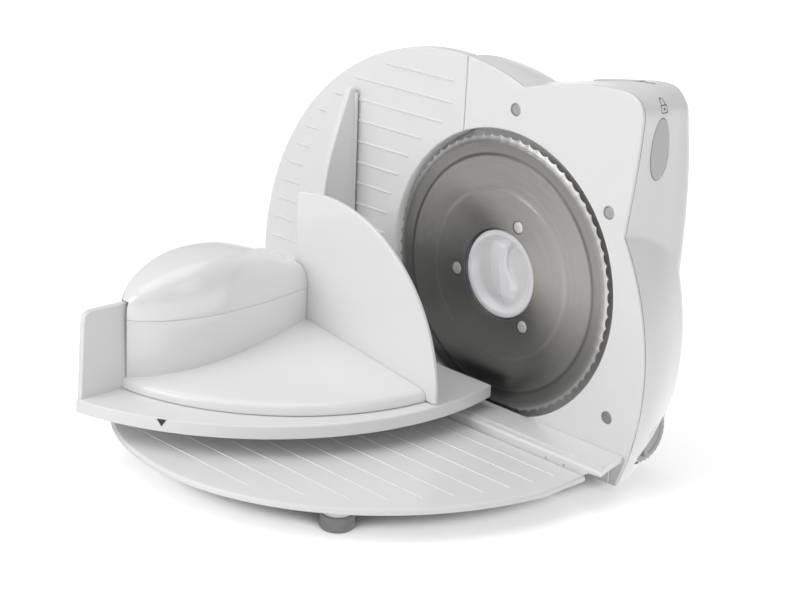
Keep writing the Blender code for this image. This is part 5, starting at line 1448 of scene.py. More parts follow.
    def room(self, radius: float, floor: float, face: float, trim: float) -> Shape:
        """Round room for the dial that is open towards the back and the bottom.

        Args:
            radius: Radius of the room.
            floor: X of its floor.
            face: X of its open side.
            trim: How far the open part stays below the round part's top.

        Returns:
            The room as a solid.
        """
        behind = block((floor, face), (self.dial[0], self.depth + OVER),
                       (self.chord_z - OVER, self.dial[1] + radius - trim))
        return add(rod(Axis.X, self.dial, radius, floor, face, 72), behind)

    def shell(self) -> Shape:
        """Moulded rear shell with its pocket, openings and vents.

        Returns:
            The shell.
        """
        front = self.panel_edge + self.parting_gap
        body = loft(self.sections(0.0, front, self.depth, 5))
        add(body, rod(Axis.Z, self.boss, self.boss_radius, self.boss_low, self.dial[1], 40))
        cavity = loft(self.sections(self.wall, front - OVER, self.depth - self.wall, 3))
        for centre, reach in zip(self.screws, (1, 1, 1, 0.48)):
            cut(cavity, rod(Axis.Y, centre, 4.5, 2.8, self.depth * reach))
        cut(cavity, self.room(self.pocket_radius + self.pocket_wall,
                              self.pocket_floor - self.pocket_wall, self.disc_radius, 0.0))
        cut(body, cavity)
        radius, floor = self.pocket_radius, self.pocket_floor
        cut(body, self.room(radius, floor, self.pocket_face, self.fit),
            rod(Axis.X, self.dial, radius - 3.2, floor, self.pocket_cover, 72),
            plate(Axis.X, self.pocket_edge, floor, self.disc_radius))
        for centre in self.screws:
            cut(body, rod(Axis.Y, centre, 1.6, 0.0, 16.0))
        pan = self.well_wall + self.fit
        back = (self.depth - self.wall - OVER, self.depth + OVER)
        cut(body, rod(Axis.Y, (0, 0), self.well_radius + pan, -OVER, self.well_depth + pan, 144),
            rod(Axis.X, self.dial, self.shaft_bore, self.seam_x - OVER, self.shaft_end),
            plate(Axis.X, oval(self.lock, self.lock_half, 64), self.lock_floor, self.disc_radius),
            block(*self.slide_mouth), rod(Axis.Y, self.cable, self.cable_bore, *back))
        for index in range(self.vents):
            z = self.vents_z + (index - (self.vents - 1) / 2) * self.vent_pitch
            vent = fillet(rectangle(self.vents_x, (z - self.vent_half, z + self.vent_half)), 1.4)
            cut(body, plate(Axis.Y, vent, *back))
        return cut(body, rod(Axis.Z, self.boss, 2.0, self.boss_low - OVER, -94.4))

    def stuck(self, tree: BVHTree, outline: Line, axis: Axis, lift: float = 0.12) -> Shape:
        """Lay a thin printed shape on the shell.

        Args:
            tree: Search tree of the shell.
            outline: Outline in (y, z) for the side or (x, y) for the top.
            axis: Direction that the print faces.
            lift: Thickness of the print.

        Returns:
            The thin shape.
        """
        above = 200.0
        ray = Vector(place(axis, 0.0, 0.0, -1.0))
        lower: list[Point] = []
        upper: list[Point] = []
        for u, v in counter_clockwise(outline):
            hit = tree.ray_cast(Vector(place(axis, u, v, above)), ray)[0]
            level = (hit.x if axis is Axis.X else hit.z) if hit else above
            lower.append(place(axis, u, v, level - 0.15))
            upper.append(place(axis, u, v, level + lift))
        return loft([lower, upper])

    def symbols(self, shell: Shape) -> list[Shape]:
        """Printed padlock, slide mark and dial pointer.

        Args:
            shell: Shell that they are printed on.

        Returns:
            The thin shapes.
        """
        work = bmesh.new()
        work.from_mesh(shell.data)
        tree = BVHTree.FromBMesh(work)
        work.free()
        parts = []

        def band(outer: list[Flat], inner: list[Flat], axis: Axis, closed: bool = True) -> None:
            """Add a band between two lines with as many points.

            Args:
                outer: One line.
                inner: The other line.
                axis: Direction that the print faces.
                closed: Whether the last point meets the first.
            """
            for index in range(len(outer) - (not closed)):
                after = (index + 1) % len(outer)
                piece = [outer[index], outer[after], inner[after], inner[index]]
                parts.append(self.stuck(tree, piece, axis))

        y, z = self.padlock
        body = fillet(rectangle((y - 3.0, y + 3.0), (z - 3.4, z + 1.2)), 0.8, 3)
        band(body, offset_loop(body, 0.55), Axis.X)
        parts.append(self.stuck(tree, circle(0.8, 10, (y, z - 1.1)), Axis.X))
        outer, inner = ([(y - half, z + 1.2), *arc((y, z + 2.6), half, math.pi, 0.0, 10),
                         (y + half, z + 1.2)] for half in (2.1, 1.5))
        band(outer, inner, Axis.X, closed=False)
        band(oval(self.slide_mark, (3.4, 2.4), 24), oval(self.slide_mark, (2.8, 1.8), 24), Axis.Z)
        pointer = [(19.6, -73.9), (20.6, -73.2), (25.8, -68.8), (24.8, -69.5)]
        parts.append(self.stuck(tree, pointer, Axis.X))
        return parts

    def build(self, shop: Workshop) -> None:
        """Build every piece of the housing and attach it to its body.

        Args:
            shop: Workshop that dresses them.
        """
        shop.publish(self.panel(), "panel_face", "chassis", "housing_white", ("front_panel",))
        shell = self.shell()
        prints = merge(self.symbols(shell))
        shop.publish(shell, "rear_shell", "chassis", "housing_white", ("rear_housing",), flat=False)
        shop.publish(prints, "printed_symbols", "chassis", "symbol_grey",
                     flat=False)
        recess = [(0, 0.75), (1.4, 0.72), (2.9, 0.6), (3.4, 0.8), (3.5, 1.1), (3.5, 1.5),
                  (1.4, 1.6), (1.4, 12.0), (0, 12.0)]
        head = turned(Axis.Y, (0, 0), recess, 28)
        screws = shop.spread(head, lay(Axis.Y, self.screws, 0.0), "screw_zinc")
        shop.publish(screws, "face_screws", "chassis", "screw_zinc",
                     [f"face_screw_{n}" for n in (1, 2, 3, 4)])
        bush = [(3.0, 50.3), (5.7, 50.3), (5.7, 54.3), (7.5, 54.3), (7.5, 55.0), (7.1, 55.5),
                (3.8, 56.97), (3.0, 56.97)]
        shop.publish(turned(Axis.Y, self.cable, bush, 40), "cable_gland", "chassis",
                     "grey_rubber", ("cable_bush",))


@dataclass
class Controls:
    """Power slide, lock button and thickness dial."""

    slide: Point = (52.0, 33.0, 125.2)
    slide_tilt: float = 0.165
    slide_lean: float = 0.083
    slide_half: Flat = (18.0, 8.8)
    slide_height: float = 0.75
    slide_level: float = -1.35
    lock: Flat = (19.0, 95.0)
    lock_half: Flat = (7.8, 17.5)
    lock_face: float = 96.2
    dial: Flat = (22.0, -74.0)
    dial_radius: float = 17.5
    ridges: int = 30
    ridge_radius: float = 0.75
    dial_back: float = 97.5
    dial_rim: float = 104.3
    grip_half: Flat = (3.0, 14.5)
    grip_levels: Flat = (103.3, 105.4)

    def power_slide(self) -> Shape:
        """Oval cap with its stem and its inner foot, tilted into the shell's slope.

        Returns:
            The slide.
        """
        x, y, z = self.slide
        low = z + self.slide_level
        rings = []
        for depth, side in quarter(1.0, 8):
            share = 1 - 0.45 * depth ** 1.5
            outline = oval((x, y), (self.slide_half[0] * share, self.slide_half[1] * share), 72)
            rings.append(lay(Axis.Z, outline, low + self.slide_height * (1 - side)))
        body = loft(rings)
        add(body, block((x - 4.4, x + 4.4), (y - 3.0, y + 3.0), (z - 7.2, low + 0.4)),
            block((x - 7.0, x + 7.0), (y - 5.0, y + 5.0), (z - 7.8, z - 6.6), 0.3))
        turn = (Matrix.Translation((x, y, z)) @ Matrix.Rotation(-self.slide_tilt, 4, "Y")
                @ Matrix.Rotation(-self.slide_lean, 4, "X") @ Matrix.Translation((-x, -y, -z)))
        body.data.transform(turn)
        return body

    def lock_button(self) -> Shape:
        """Oval lock button with a domed face and a rear flange.

        Returns:
            The button.
        """
        spans = [(89.0, 1.2), (90.5, 1.2), (90.5, 0.0), (self.lock_face, 0.0)]
        spans += [(self.lock_face + 0.5 * (1 - side), -0.8 * depth)
                  for depth, side in quarter(1.0, 5)[1:]]
        half = self.lock_half
        return loft([lay(Axis.X, oval(self.lock, (half[0] + extra, half[1] + extra), 72), level)
                     for level, extra in spans])

    def dial_face(self) -> Shape:
        """Dial with a raised rim, a sunk face and a grip bar.

        Returns:
            The dial.
        """
        core = self.dial_radius - 0.6
        profile = [(0, self.dial_back), (core - 0.4, self.dial_back),
                   (core, self.dial_back + 0.4), (core, self.dial_rim - 0.9),
                   (core - 0.9, self.dial_rim), (core - 3.4, self.dial_rim),
                   (core - 4.0, self.dial_rim - 0.6), (0, self.dial_rim - 0.6)]
        face = turned(Axis.X, self.dial, profile, 120)
        add(face, plate(Axis.X, oval(self.dial, self.grip_half, 48), *self.grip_levels, 0.0, 0.8))
        return cut(face, rod(Axis.X, self.dial, 2.8, self.dial_back - OVER, 102.3))

    def build(self, shop: Workshop) -> None:
        """Build the controls and attach them to their bodies.

        Args:
            shop: Workshop that dresses them.
        """
        shop.publish(self.power_slide(), "power_slide_cap", "power_slide", "slide_grey",
                     ("power_slide",))
        shop.publish(self.lock_button(), "lock_button_cap", "lock_button", "button_grey",
                     ("lock_button",))
        face = self.dial_face()
        ridge = rod(Axis.X, (0, 0), self.ridge_radius, self.dial_back + 0.2, self.dial_rim - 0.5,
                    12, 0.3)
        places = lay(Axis.X, circle(self.dial_radius - 0.8, self.ridges, self.dial), 0.0)
        ridges = shop.spread(ridge, places, "dial_grey")
        shop.publish(face, "dial_face", "dial", "dial_grey", ("thickness_dial",))
        shop.publish(ridges, "dial_ridges", "dial", "dial_grey", flat=False)


@dataclass
class BladeGroup:
    """Serrated blade, its carrier and the locking knob."""

    radius: float = 85.0
    face_y: float = 0.3
    thickness: float = 1.0
    bore: float = 28.0
    scallops: int = 71
    scallop_depth: float = 1.7
    scallop_start: float = 8.0
    hole_circle: float = 34.7
    hole_radius: float = 4.0
    hole_angles: Row = (68.2, 188.2, 308.2)
    knob_radius: float = 27.0
    knob_face: float = 1.8
    knob_back: float = 6.3
    bowl_radius: float = 23.6
    bowl_depth: float = 3.5
    wing_levels: Row = (-20.0, -17.0, -12.5, -7.5, -2.0, 3.0, 7.5, 11.5, 15.5, 20.0, 23.0)
    wing_left: Row = (0.4, -1.5, -4.6, -8.8, -10.8, -11.7, -12.0, -11.9, -10.6, -6.8, -2.0)
    wing_crest: Row = (3.0, 2.2, 1.6, 0.7, -0.6, -1.6, -1.8, -1.2, 0.4, 3.6, 6.4)
    wing_right: Row = (4.4, 4.7, 5.4, 6.3, 6.2, 3.5, 2.1, 2.2, 2.8, 5.4, 7.6)

    def blade(self, shop: Workshop) -> Shape:
        """Blade with a ground bevel, a groove and a dished middle.

        Args:
            shop: Workshop with the scallop tree.

        Returns:
            The blade.
        """
        back = self.face_y + self.thickness
        face = self.face_y
        profile = [(self.bore, face + 0.15), (self.bore + 0.2, face), (50.4, face - 0.1),
                   (51.6, face - 0.02), (52.8, face + 0.16), (54.0, face + 0.2),
                   (70.8, face + 0.22), (72.0, face + 0.28), (72.7, face + 0.46),
                   (73.5, face + 0.52), (74.6, face + 0.44), (78.6, face + 0.3),
                   (79.5, face + 0.3), (80.1, face + 0.36), (self.radius, back - 0.12),
                   (self.radius, back), (self.bore, back)]
        shape = turned(Axis.Y, (0, 0), profile, self.scallops * 12)
        grow(shape, shop.scallops, {"Count": float(self.scallops), "Depth": self.scallop_depth,
                                    "Edge Radius": self.radius,
                                    "Start": math.radians(self.scallop_start),
                                    "Finish": shop.finishes.get("blade_steel")})
        for x, z in self.holes():
            cut(shape, rod(Axis.Y, (x, z), self.hole_radius, -OVER, back + OVER, 28))
        return shape

    def holes(self) -> list[Flat]:
        """List the centres of the blade's holes.

        Returns:
            The centres as (x, z).
        """
        turns = [math.radians(angle) for angle in self.hole_angles]
        return [(self.hole_circle * math.cos(turn), self.hole_circle * math.sin(turn)) for turn in turns]

    def carrier(self) -> Shape:
        """Cup-shaped carrier behind the blade.

        Returns:
            The carrier.
        """
        profile = [(39.0, 2.4), (39.0, 4.8), (31.0, 4.8), (31.0, 9.0), (12.0, 9.0), (12.0, 33.0),
                   (4.3, 33.0), (4.3, 6.6), (28.2, 6.6), (28.6, 6.2), (28.6, 2.4)]
        return turned(Axis.Y, (0, 0), profile, 120)

    def pins(self, shop: Workshop) -> Shape:
        """Round-headed pins that turn the blade.

        Args:
            shop: Workshop that sets them in their places.

        Returns:
            The pins.
        """
        profile = [(0, 0.12), (2.9, 0.14), (3.45, 0.28), (3.7, 0.6), (3.7, 2.6), (0, 2.6)]
        pin = turned(Axis.Y, (0, 0), profile, 32)
        return shop.spread(pin, lay(Axis.Y, self.holes(), 0.0), "rivet_pale")

    def bowl(self, x: float, z: float) -> float:
        """Depth of the knob's face below its rim.

        The bowl falls from the rim to an even floor. A finger grip rises from it
        with a long slope on its left and a steep one on its right.

        Args:
            x: Place across the knob.
            z: Place along the grip.

        Returns:
            The depth in millimetres.
        """
        out = math.hypot(x, z)
        wall = min(max((self.bowl_radius - out) / 6.0, 0.0), 1.0)
        floor = self.bowl_depth * (1 - (1 - wall) ** 2.2)
        left, crest, right = (float_at(self.wing_levels, table, z)
                              for table in (self.wing_left, self.wing_crest, self.wing_right))
        if x <= crest:
            share = min(max((x - left) / (crest - left), 0.0), 1.0)
            step = min(max((x - left) / 0.9 + 0.5, 0.0), 1.0)
            rise = 0.22 * step * step * (3 - 2 * step) + 0.78 * share ** 1.7
        else:
            fall = 1.6 + 5.0 * min(max((4.0 - z) / 9.0, 0.0), 1.0)
            share = min(max((x - right) / fall, 0.0), 1.0)
            rise = 1.0 - 0.12 * min((x - crest) / (right - crest + 0.01), 1.0)
            rise *= 1 - share * share * (3 - 2 * share)
        low = min(max((z + 20.0) / 7.0, 0.0), 1.0)
        return floor * (1 - 0.9 * rise * low)

    def knob(self) -> Shape:
        """Milky knob whose bowl holds a bowed finger grip.

        Returns:
            The knob.
        """
        face, back, rim = self.knob_face, self.knob_back, self.knob_radius
        steps = 180
        rings = []
        for step in range(1, 61):
            ring = circle(self.bowl_radius * step / 60, steps)
            rings.append([(x, face + 0.25 + self.bowl(x, z), z) for x, z in ring])
        edge = [(self.bowl_radius + 0.4, face + 0.08), (self.bowl_radius + 1.0, face),
                (rim - 1.0, face), (rim - 0.4, face + 0.15), (rim - 0.1, face + 0.45),
                (rim, face + 0.9), (rim, back - 0.4), (rim - 0.4, back), (4.0, back),
                (3.7, 10.0), (0.3, 10.0)]
        rings += [lay(Axis.Y, circle(radius, steps), level) for radius, level in edge]
        return loft(rings)

    def build(self, shop: Workshop) -> None:
        """Build the blade group and attach it to its bodies.

        Args:
            shop: Workshop that dresses them.
        """
        shop.publish(self.blade(shop), "slicing_blade", "blade_drive", "blade_steel", ("blade",),
                     crease=0.25)
        shop.publish(self.carrier(), "carrier_cup", "blade_drive", "pale_plastic", ("blade_carrier",))
        shop.publish(self.pins(shop), "drive_pins", "blade_drive", "rivet_pale")
        shop.publish(self.knob(), "locking_knob", "knob", "knob_plastic", ("blade_knob",))


@dataclass
class StopPlate:
    """Ribbed plate that sets the slice thickness."""

    housing: Housing
    gap: float = 0.35
    bottom_z: float = -79.5
    thickness: float = 2.2
    skirt: float = 8.0
    wall: float = 2.0
    edge: float = 0.9
    rib_top: float = 109.3
    rib_pitch: float = 13.5
    rib_count: int = 14
    rib_reach: float = 157.5
    rib_right: float = -45.0
    rib_clear: float = 97.7
    opening_z: float = -61.7

    def outline(self, inset: float) -> list[Flat]:
        """Outline of the plate, counter-clockwise from the front.

        Args:
            inset: Inset from its outer edge.

        Returns:
            The outline.
        """
        house = self.housing
        disc = house.disc_radius - inset
        well = house.well_radius + inset
        right = house.seam_x - self.gap - inset
        bottom = self.bottom_z + inset
        first = math.acos((right - house.disc[0]) / disc)
        last = math.pi - math.asin((bottom - house.disc[1]) / disc)
        low = -math.pi + math.asin(-bottom / well)
        high = -2 * math.pi + math.acos(right / well)
        return [*arc(house.disc, disc, first, last, 96), *arc((0.0, 0.0), well, low, high, 72)]

    def build(self, shop: Workshop) -> None:
        """Build the plate and its ribs and attach them to their body.

        Args:
            shop: Workshop that dresses them.
        """
        levels = [*quarter(self.edge, 5), (self.skirt - 0.3, 0.0), (self.skirt, 0.3),
                  (self.skirt, self.wall), (self.thickness, self.wall)]
        body = loft([lay(Axis.Y, self.outline(inset), level) for level, inset in levels])
        left = self.housing.disc[0] - self.housing.disc_radius - 0.06
        cut(body, block((left, self.housing.seam_x), (self.thickness, self.skirt + OVER),
                        (self.bottom_z - OVER, self.opening_z)))
        seat = self.housing.well_radius
        ledge = [(seat - 0.5, 6.0), (seat + 1.6, 6.0), (seat + 1.6, 14.5), (seat - 6.0, 14.5),
                 (seat - 6.0, 13.0), (seat - 0.5, 13.0)]
        ring = turned(Axis.Y, (0, 0), ledge, 240)
        right = self.housing.seam_x - self.gap
        cut(ring, block((right, seat + 4), (0.0, 20.0), (-seat - 4, seat + 4)),
            block((-seat - 4, right), (0.0, 20.0), (-seat - 4, 12.0)))
        shop.publish(body, "stop_plate_face", "stop", "housing_white", ("stop_plate",))
        shop.publish(ring, "stop_plate_ledge", "stop", "housing_white", flat=False)
        shop.beads("stop_plate_ribs", "stop", {
            "Count": self.rib_count, "First": self.rib_top, "Pitch": self.rib_pitch,
            "Centre": self.housing.disc[0], "Half Length": self.rib_reach,
            "Across": self.housing.disc[1], "Half Reach": self.rib_reach,
            "Right Limit": self.rib_right, "Clear Radius": self.rib_clear, "Bead Radius": 0.95,
            "Sink": 0.25}, Matrix.Rotation(math.pi / 2, 4, "X"))


@dataclass
class Table:
    """Folding half-round table with ribs, hinge ears and feet."""

    centre_x: float = -54.0
    back_y: float = -29.3
    centre_y: float = -30.2
    half_length: float = 159.58
    reach: float = 180.2
    top_z: float = -86.7
    rim_z: float = -90.2
    edge: float = 1.7
    hinge: Flat = (-32.5, -96.0)
    foot_x: float = 31.9
    foot_y: float = -153.9
    foot_radius: float = 9.65
    end_x: float = 102.6
    leg_z: float = -98.5
    rib_first: float = -43.3
    rib_pitch: float = 16.0
    rib_count: int = 10
    rib_margin: float = 13.0
    hinge_share: float = 0.6

    def outline(self) -> list[Flat]:
        """Half-round plan, counter-clockwise.

        Returns:
            The plan.
        """
        turns = [math.pi + math.pi * step / 120 for step in range(1, 121)]
        points = [(self.centre_x + self.half_length * math.cos(turn),
                   self.centre_y + self.reach * math.sin(turn)) for turn in turns]
        points = [point for point in points if point[0] < self.end_x - 0.5]
        across = (self.end_x - self.centre_x) / self.half_length
        tip = (self.end_x, self.centre_y - self.reach * math.sqrt(1 - across * across))
        return [*points, tip, (self.end_x, self.back_y),
                (self.centre_x - self.half_length, self.back_y)]

    def build(self, shop: Workshop) -> None:
        """Build the table, its ribs and its feet and attach them to their body.

        Args:
            shop: Workshop that dresses them.
        """
        outline = self.outline()
        body = plate(Axis.Z, outline, self.rim_z, self.top_z, 0.5, self.edge, 5)
        cut(body, plate(Axis.Z, offset_loop(outline, 2.5), self.rim_z - OVER, self.top_z - 2.2))
        feet = [(x, self.foot_y) for x in (self.foot_x, 2 * self.centre_x - self.foot_x)]
        for foot in feet:
            add(body, rod(Axis.Z, foot, self.foot_radius - 1.25, self.leg_z, self.top_z - 0.9, 40))
            cut(body, rod(Axis.Z, foot, 2.0, self.leg_z - OVER, -91.9))
        for share in (-self.hinge_share, self.hinge_share):
            x = self.centre_x + self.half_length * share
            for side in (-1, 1):
                middle = x + side * 8.6
                ear = rod(Axis.X, self.hinge, 3.6, middle - 3.0, middle + 3.0, 32)
                add(ear, block((middle - 3.0, middle + 3.0), (self.hinge[0] - 7.2, self.hinge[0]),
                               (self.hinge[1] - 1.8, self.top_z - 0.9)))
                add(body, ear)
            cut(body, rod(Axis.X, self.hinge, 2.1, x - 26.0, x + 26.0))
        shop.publish(body, "table_top", "folding_table", "housing_white", ("table",))
        shop.beads("table_ribs", "folding_table", {
            "Count": self.rib_count, "First": self.rib_first, "Pitch": self.rib_pitch,
            "Centre": self.centre_x, "Half Length": self.half_length - self.rib_margin,
            "Across": self.centre_y, "Half Reach": self.reach - self.rib_margin,
            "Right Limit": 500.0, "Clear Radius": 0.0, "Bead Radius": 0.65,
            "Sink": 0.2}, Matrix.Translation((0, 0, self.top_z)))
        pads = shop.spread(foot_shape(self.foot_radius, self.leg_z), lay(Axis.Z, feet, 0.0),
                           "grey_rubber")
        shop.publish(pads, "table_feet", "folding_table", "grey_rubber",
                     ("table_foot_1", "table_foot_2"))


def foot_shape(radius: float, top: float) -> Shape:
    """Turn one rubber foot with its stem.

    Args:
        radius: Radius of the pad.
        top: Z of the pad's upper face.

    Returns:
        The foot about its own axis.
    """
    low = -108.0
    profile = [(0, low), (radius - 1.6, low), (radius - 0.6, low + 0.5), (radius, low + 1.4),
               (radius, top - 0.9), (radius - 0.6, top - 0.3), (1.6, top - 0.3),
               (1.6, top + 6.0), (0, top + 6.0)]
    return turned(Axis.Z, (0, 0), profile, 48)


@dataclass
class Carriage:
    """Sliding carriage with its fence, tall fin and hand guard."""

    top_z: float = -67.0
    rim_z: float = -75.0
    back_y: float = -6.5
    centre: Flat = (-161.0, -48.8)
    radius: float = 172.79
    tip_y: float = -8.8
    tip_x: float = 8.5
    fence_x: float = -121.5
    fence_thickness: float = 4.5
    lean: float = 0.0408
    edge: float = 1.1
    marker_angle: float = -58.5
    marker_z: float = -67.4
    fence_points: Flats = (
        (-44.0, -15.5), (-36.0, -12.0), (-31.0, -3.0), (-29.0, 10.0), (-28.1, 24.8),
        (-24.7, 42.3), (-21.0, 53.5), (-12.6, 74.7), (-6.8, 88.6))
    guard_points: Flats = (
        (-131.5, 87.0), (-145.6, 77.7), (-158.0, 60.0), (-168.0, 42.0), (-173.4, 29.6),
        (-175.8, 18.0), (-178.0, 3.0), (-181.4, -8.5), (-180.0, -22.0), (-173.0, -40.0),
        (-158.0, -58.0), (-140.0, -68.0))

    def outline(self) -> list[Flat]:
        """Plan of the carriage floor, counter-clockwise from above.

        Returns:
            The plan.
        """
        left = self.fence_x - self.fence_thickness / 2
        start = math.acos((self.fence_x - self.centre[0]) / self.radius)
        end = math.asin((self.tip_y - self.centre[1]) / self.radius)
        return [(left, self.back_y), (left, self.centre[1] - self.radius * math.sin(start)),
                *arc(self.centre, self.radius, -start, end, 96), (self.tip_x - 2.0, self.back_y)]

    def fence(self) -> Shape:
        """Leaning fence with the tall fin at the blade side.

        Returns:
            The fence.
        """
        outline = [(-215.5, -75.0), (-211.6, -22.0), (-210.4, -17.6), (-206.5, -15.5)]
        outline += smooth_line(self.fence_points, 5)
        outline += [(-4.6, 90.0), (-2.2, 88.8), (-1.2, 86.0), (-1.2, -58.0), (-6.5, -63.0),
                    (-6.5, -75.0)]
        body = plate(Axis.X, outline, self.fence_x - self.fence_thickness, self.fence_x, 0.9, 0.9)
        for vertex in body.data.vertices:
            vertex.co.x -= (vertex.co.z - self.top_z) * self.lean
        return body

    def build(self, shop: Workshop) -> None:
        """Build the carriage and its marker and attach them to their body.

        Args:
            shop: Workshop that dresses them.
        """
        outline = self.outline()
        body = plate(Axis.Z, outline, self.rim_z, self.top_z, 0.5, self.edge, 5)
        cut(body, plate(Axis.Z, offset_loop(outline, 2.2), self.rim_z - OVER, self.top_z - 2.0))
        guard = [(-123.0, -68.0), (-126.0, 87.0), *smooth_line(self.guard_points, 5)]
        parts = [body, self.fence(), plate(Axis.Y, guard, -3.5, -1.2, 0.7, 0.7)]
        shop.publish(merge(parts), "carriage_body", "carriage", "housing_white", ("carriage",))
        angle = math.radians(self.marker_angle)
        radius = self.radius + 0.05
        side = Vector((-math.sin(angle), math.cos(angle), 0))
        out = Vector((math.cos(angle), math.sin(angle), 0))
        centre = Vector((*self.centre, self.marker_z)) + out * radius
        rings = [[tuple(centre + side * u + out * lift + Vector((0, 0, v)))
                  for u, v in ((-2.9, 0.0), (2.9, 0.0), (0.0, -4.3))] for lift in (-0.5, 0.12)]
        shop.publish(loft(rings), "edge_pointer", "carriage", "marker_black",
                     flat=False)
        shop.softened("carriage_runner", "runner_shoe", "carriage", "pale_plastic", 0.4)


@dataclass
class Holder:
    """Food holder with its domed grip, fanned apron and spiked pusher plate."""

    centre_x: float = -123.7
    bottom_z: float = -66.5
    skirt_z: float = -64.5
    wall: float = 2.2
    back_y: float = -58.8
    length: float = 184.4
    half_width: float = 27.3
    hip_z: float = -30.0
    seam_z: float = -25.0
    widest_y: float = -125.0
    crest_y: float = -124.0
    crest_z: float = 7.4
    back_width: float = 19.8
    back_crest: float = -10.0
    front_drop: float = 27.0
    apron_corner: float = -103.6
    apron_centre: Flat = (-135.9, -48.7)
    apron_radius: float = 138.5
    plate_centre: Flat = (-92.3, -66.1)
    plate_radius: float = 102.3
    plate_left: float = -116.5
    apron_profile: Flats = (
        (0.12, -46.9), (0.3, -49.6), (0.5, -52.6), (0.7, -55.6), (0.86, -58.0), (0.94, -59.3),
        (0.965, -59.9), (0.983, -60.7), (0.994, -61.9), (1.0, -63.3), (1.0, -66.5))

    def ring(self, y: float, inset: float, bottom: float, reach: float) -> list[Point]:
        """One closed arch section of the grip.

        Args:
            y: Place along the grip, where its size is taken.
            inset: Inset from the outer face.
            bottom: Z of the lower edge.
            reach: Shift of the section along Y.

        Returns:
            The section's points.
        """
        front = self.widest_y + self.length
        if y < self.widest_y:
            share = min((self.widest_y - y) / front, 1.0)
            half = self.half_width * (1 - share * share) ** 0.64
        else:
            share = (y - self.widest_y) / (self.back_y - self.widest_y)
            half = self.half_width - (self.half_width - self.back_width) * share ** 1.9
        if y < self.crest_y:
            share = min((self.crest_y - y) / (self.crest_y + self.length), 1.0)
            crest = self.crest_z - self.front_drop * (1 - (1 - share * share) ** 0.62)
        else:
            share = (y - self.crest_y) / (self.back_y - self.crest_y)
            crest = self.crest_z - (self.crest_z - self.back_crest) * share * share
        half = max(half - inset, 0.3)
        crest -= inset
        y += reach
        points = [(self.centre_x + half, y, bottom), (self.centre_x + half, y, self.hip_z)]
        steps = 36
        for step in range(1, steps):
            angle = math.pi * step / steps
            cosine = math.cos(angle)
            width = math.copysign(abs(cosine) ** 0.55, cosine)
            rise = math.sin(angle) ** 0.62
            points.append((self.centre_x + half * width, y, self.hip_z + (crest - self.hip_z) * rise))
        return [*points, (self.centre_x - half, y, self.hip_z), (self.centre_x - half, y, bottom)]

    def dome(self) -> Shape:
        """Hollow grip, still in one piece.

        Returns:
            The grip.
        """
        front = self.length + self.widest_y
        places = [self.widest_y - front * math.cos(math.pi / 2 * step / 40) for step in range(40)]
        places += [self.widest_y + (self.back_y - self.widest_y) * step / 20 for step in range(21)]
        body = loft([self.ring(y, 0.0, self.skirt_z, 0.0) for y in places])
        rings = [self.ring(y, self.wall, self.bottom_z - OVER, -self.wall if y == places[-1] else 0.0)
                 for y in places[8::2]]
        slot = block((-128.7, -120.9), (-self.length - OVER, self.back_y + OVER),
                     (self.bottom_z - OVER, -14.5))
        return cut(body, loft(rings), slot)

    def apron(self) -> Shape:
        """Ramp-like foot that fans out to its round edge.

        Returns:
            The foot.
        """
        first = math.radians(-84.2)
        last = math.asin((self.back_y - self.apron_centre[1]) / self.apron_radius)
        edge = arc(self.apron_centre, self.apron_radius, first, last, 72)
        corner = (self.apron_corner, self.back_y)
        count = len(edge)
        vertices: list[Point] = [(*corner, -45.5), (*corner, self.bottom_z)]
        for share, level in self.apron_profile:
            vertices += [(corner[0] + (x - corner[0]) * share,
                          corner[1] + (y - corner[1]) * share, level) for x, y in edge]
        rows = len(self.apron_profile)
        faces: list[list[int]] = []
        for step in range(count - 1):
            faces.append([0, 2 + step, 3 + step])
            for row in range(rows - 1):
                a = 2 + row * count + step
                faces.append([a, a + count, a + count + 1, a + 1])
            a = 2 + (rows - 1) * count + step
            faces.append([1, a + 1, a])
        for end in (0, count - 1):
            faces.append([0, 1, *[2 + row * count + end for row in range(rows - 1, -1, -1)]])
        return solid(vertices, faces)

    def build(self, shop: Workshop) -> None:
        """Build the holder's pieces and attach them to their body.

        Args:
            shop: Workshop that dresses them.
        """
        dome = self.dome()
        lid = self.dome()
        wide = ((-200.0, -60.0), (-200.0, -40.0))
        combine(lid, block(*wide, (self.seam_z + 0.12, 40.0)), Join.KEEP)
        combine(dome, block(*wide, (-120.0, self.seam_z - 0.12)), Join.KEEP)
        for shape in (lid, dome):
            bevelled(shape, 0.35, 3, 0.9)
        shop.publish(merge([dome, self.apron()]), "holder_base", "holder", "holder_white",
                     ("holder_body",), crease=0.6, flat=False)
        shop.publish(lid, "holder_lid", "holder", "lid_white", crease=0.6,
                     flat=False)
        (x, z), radius = self.plate_centre, self.plate_radius
        first = math.asin((self.bottom_z - z) / radius)
        last = math.acos((self.plate_left - x) / radius)
        outline = [(self.plate_left, self.bottom_z), *arc(self.plate_centre, radius, first, last, 84)]
        face = plate(Axis.Y, outline, -58.5, -56.0, 0.8, 0.5)
        shop.publish(face, "pusher_face", "holder", "holder_white", ("holder_plate",))
        profile = [(0, -56.3), (1.6, -56.3), (1.45, -55.4), (0.42, -50.4), (0, -50.0)]
        places = [(-104.0 + 20.0 * column, 0.0, -46.0 + 20.0 * row)
                  for row in range(3) for column in range(4 - row)]
        spikes = shop.spread(turned(Axis.Y, (0, 0), profile, 16), places, "holder_white")
        shop.publish(spikes, "pusher_spikes", "holder", "holder_white", flat=False)


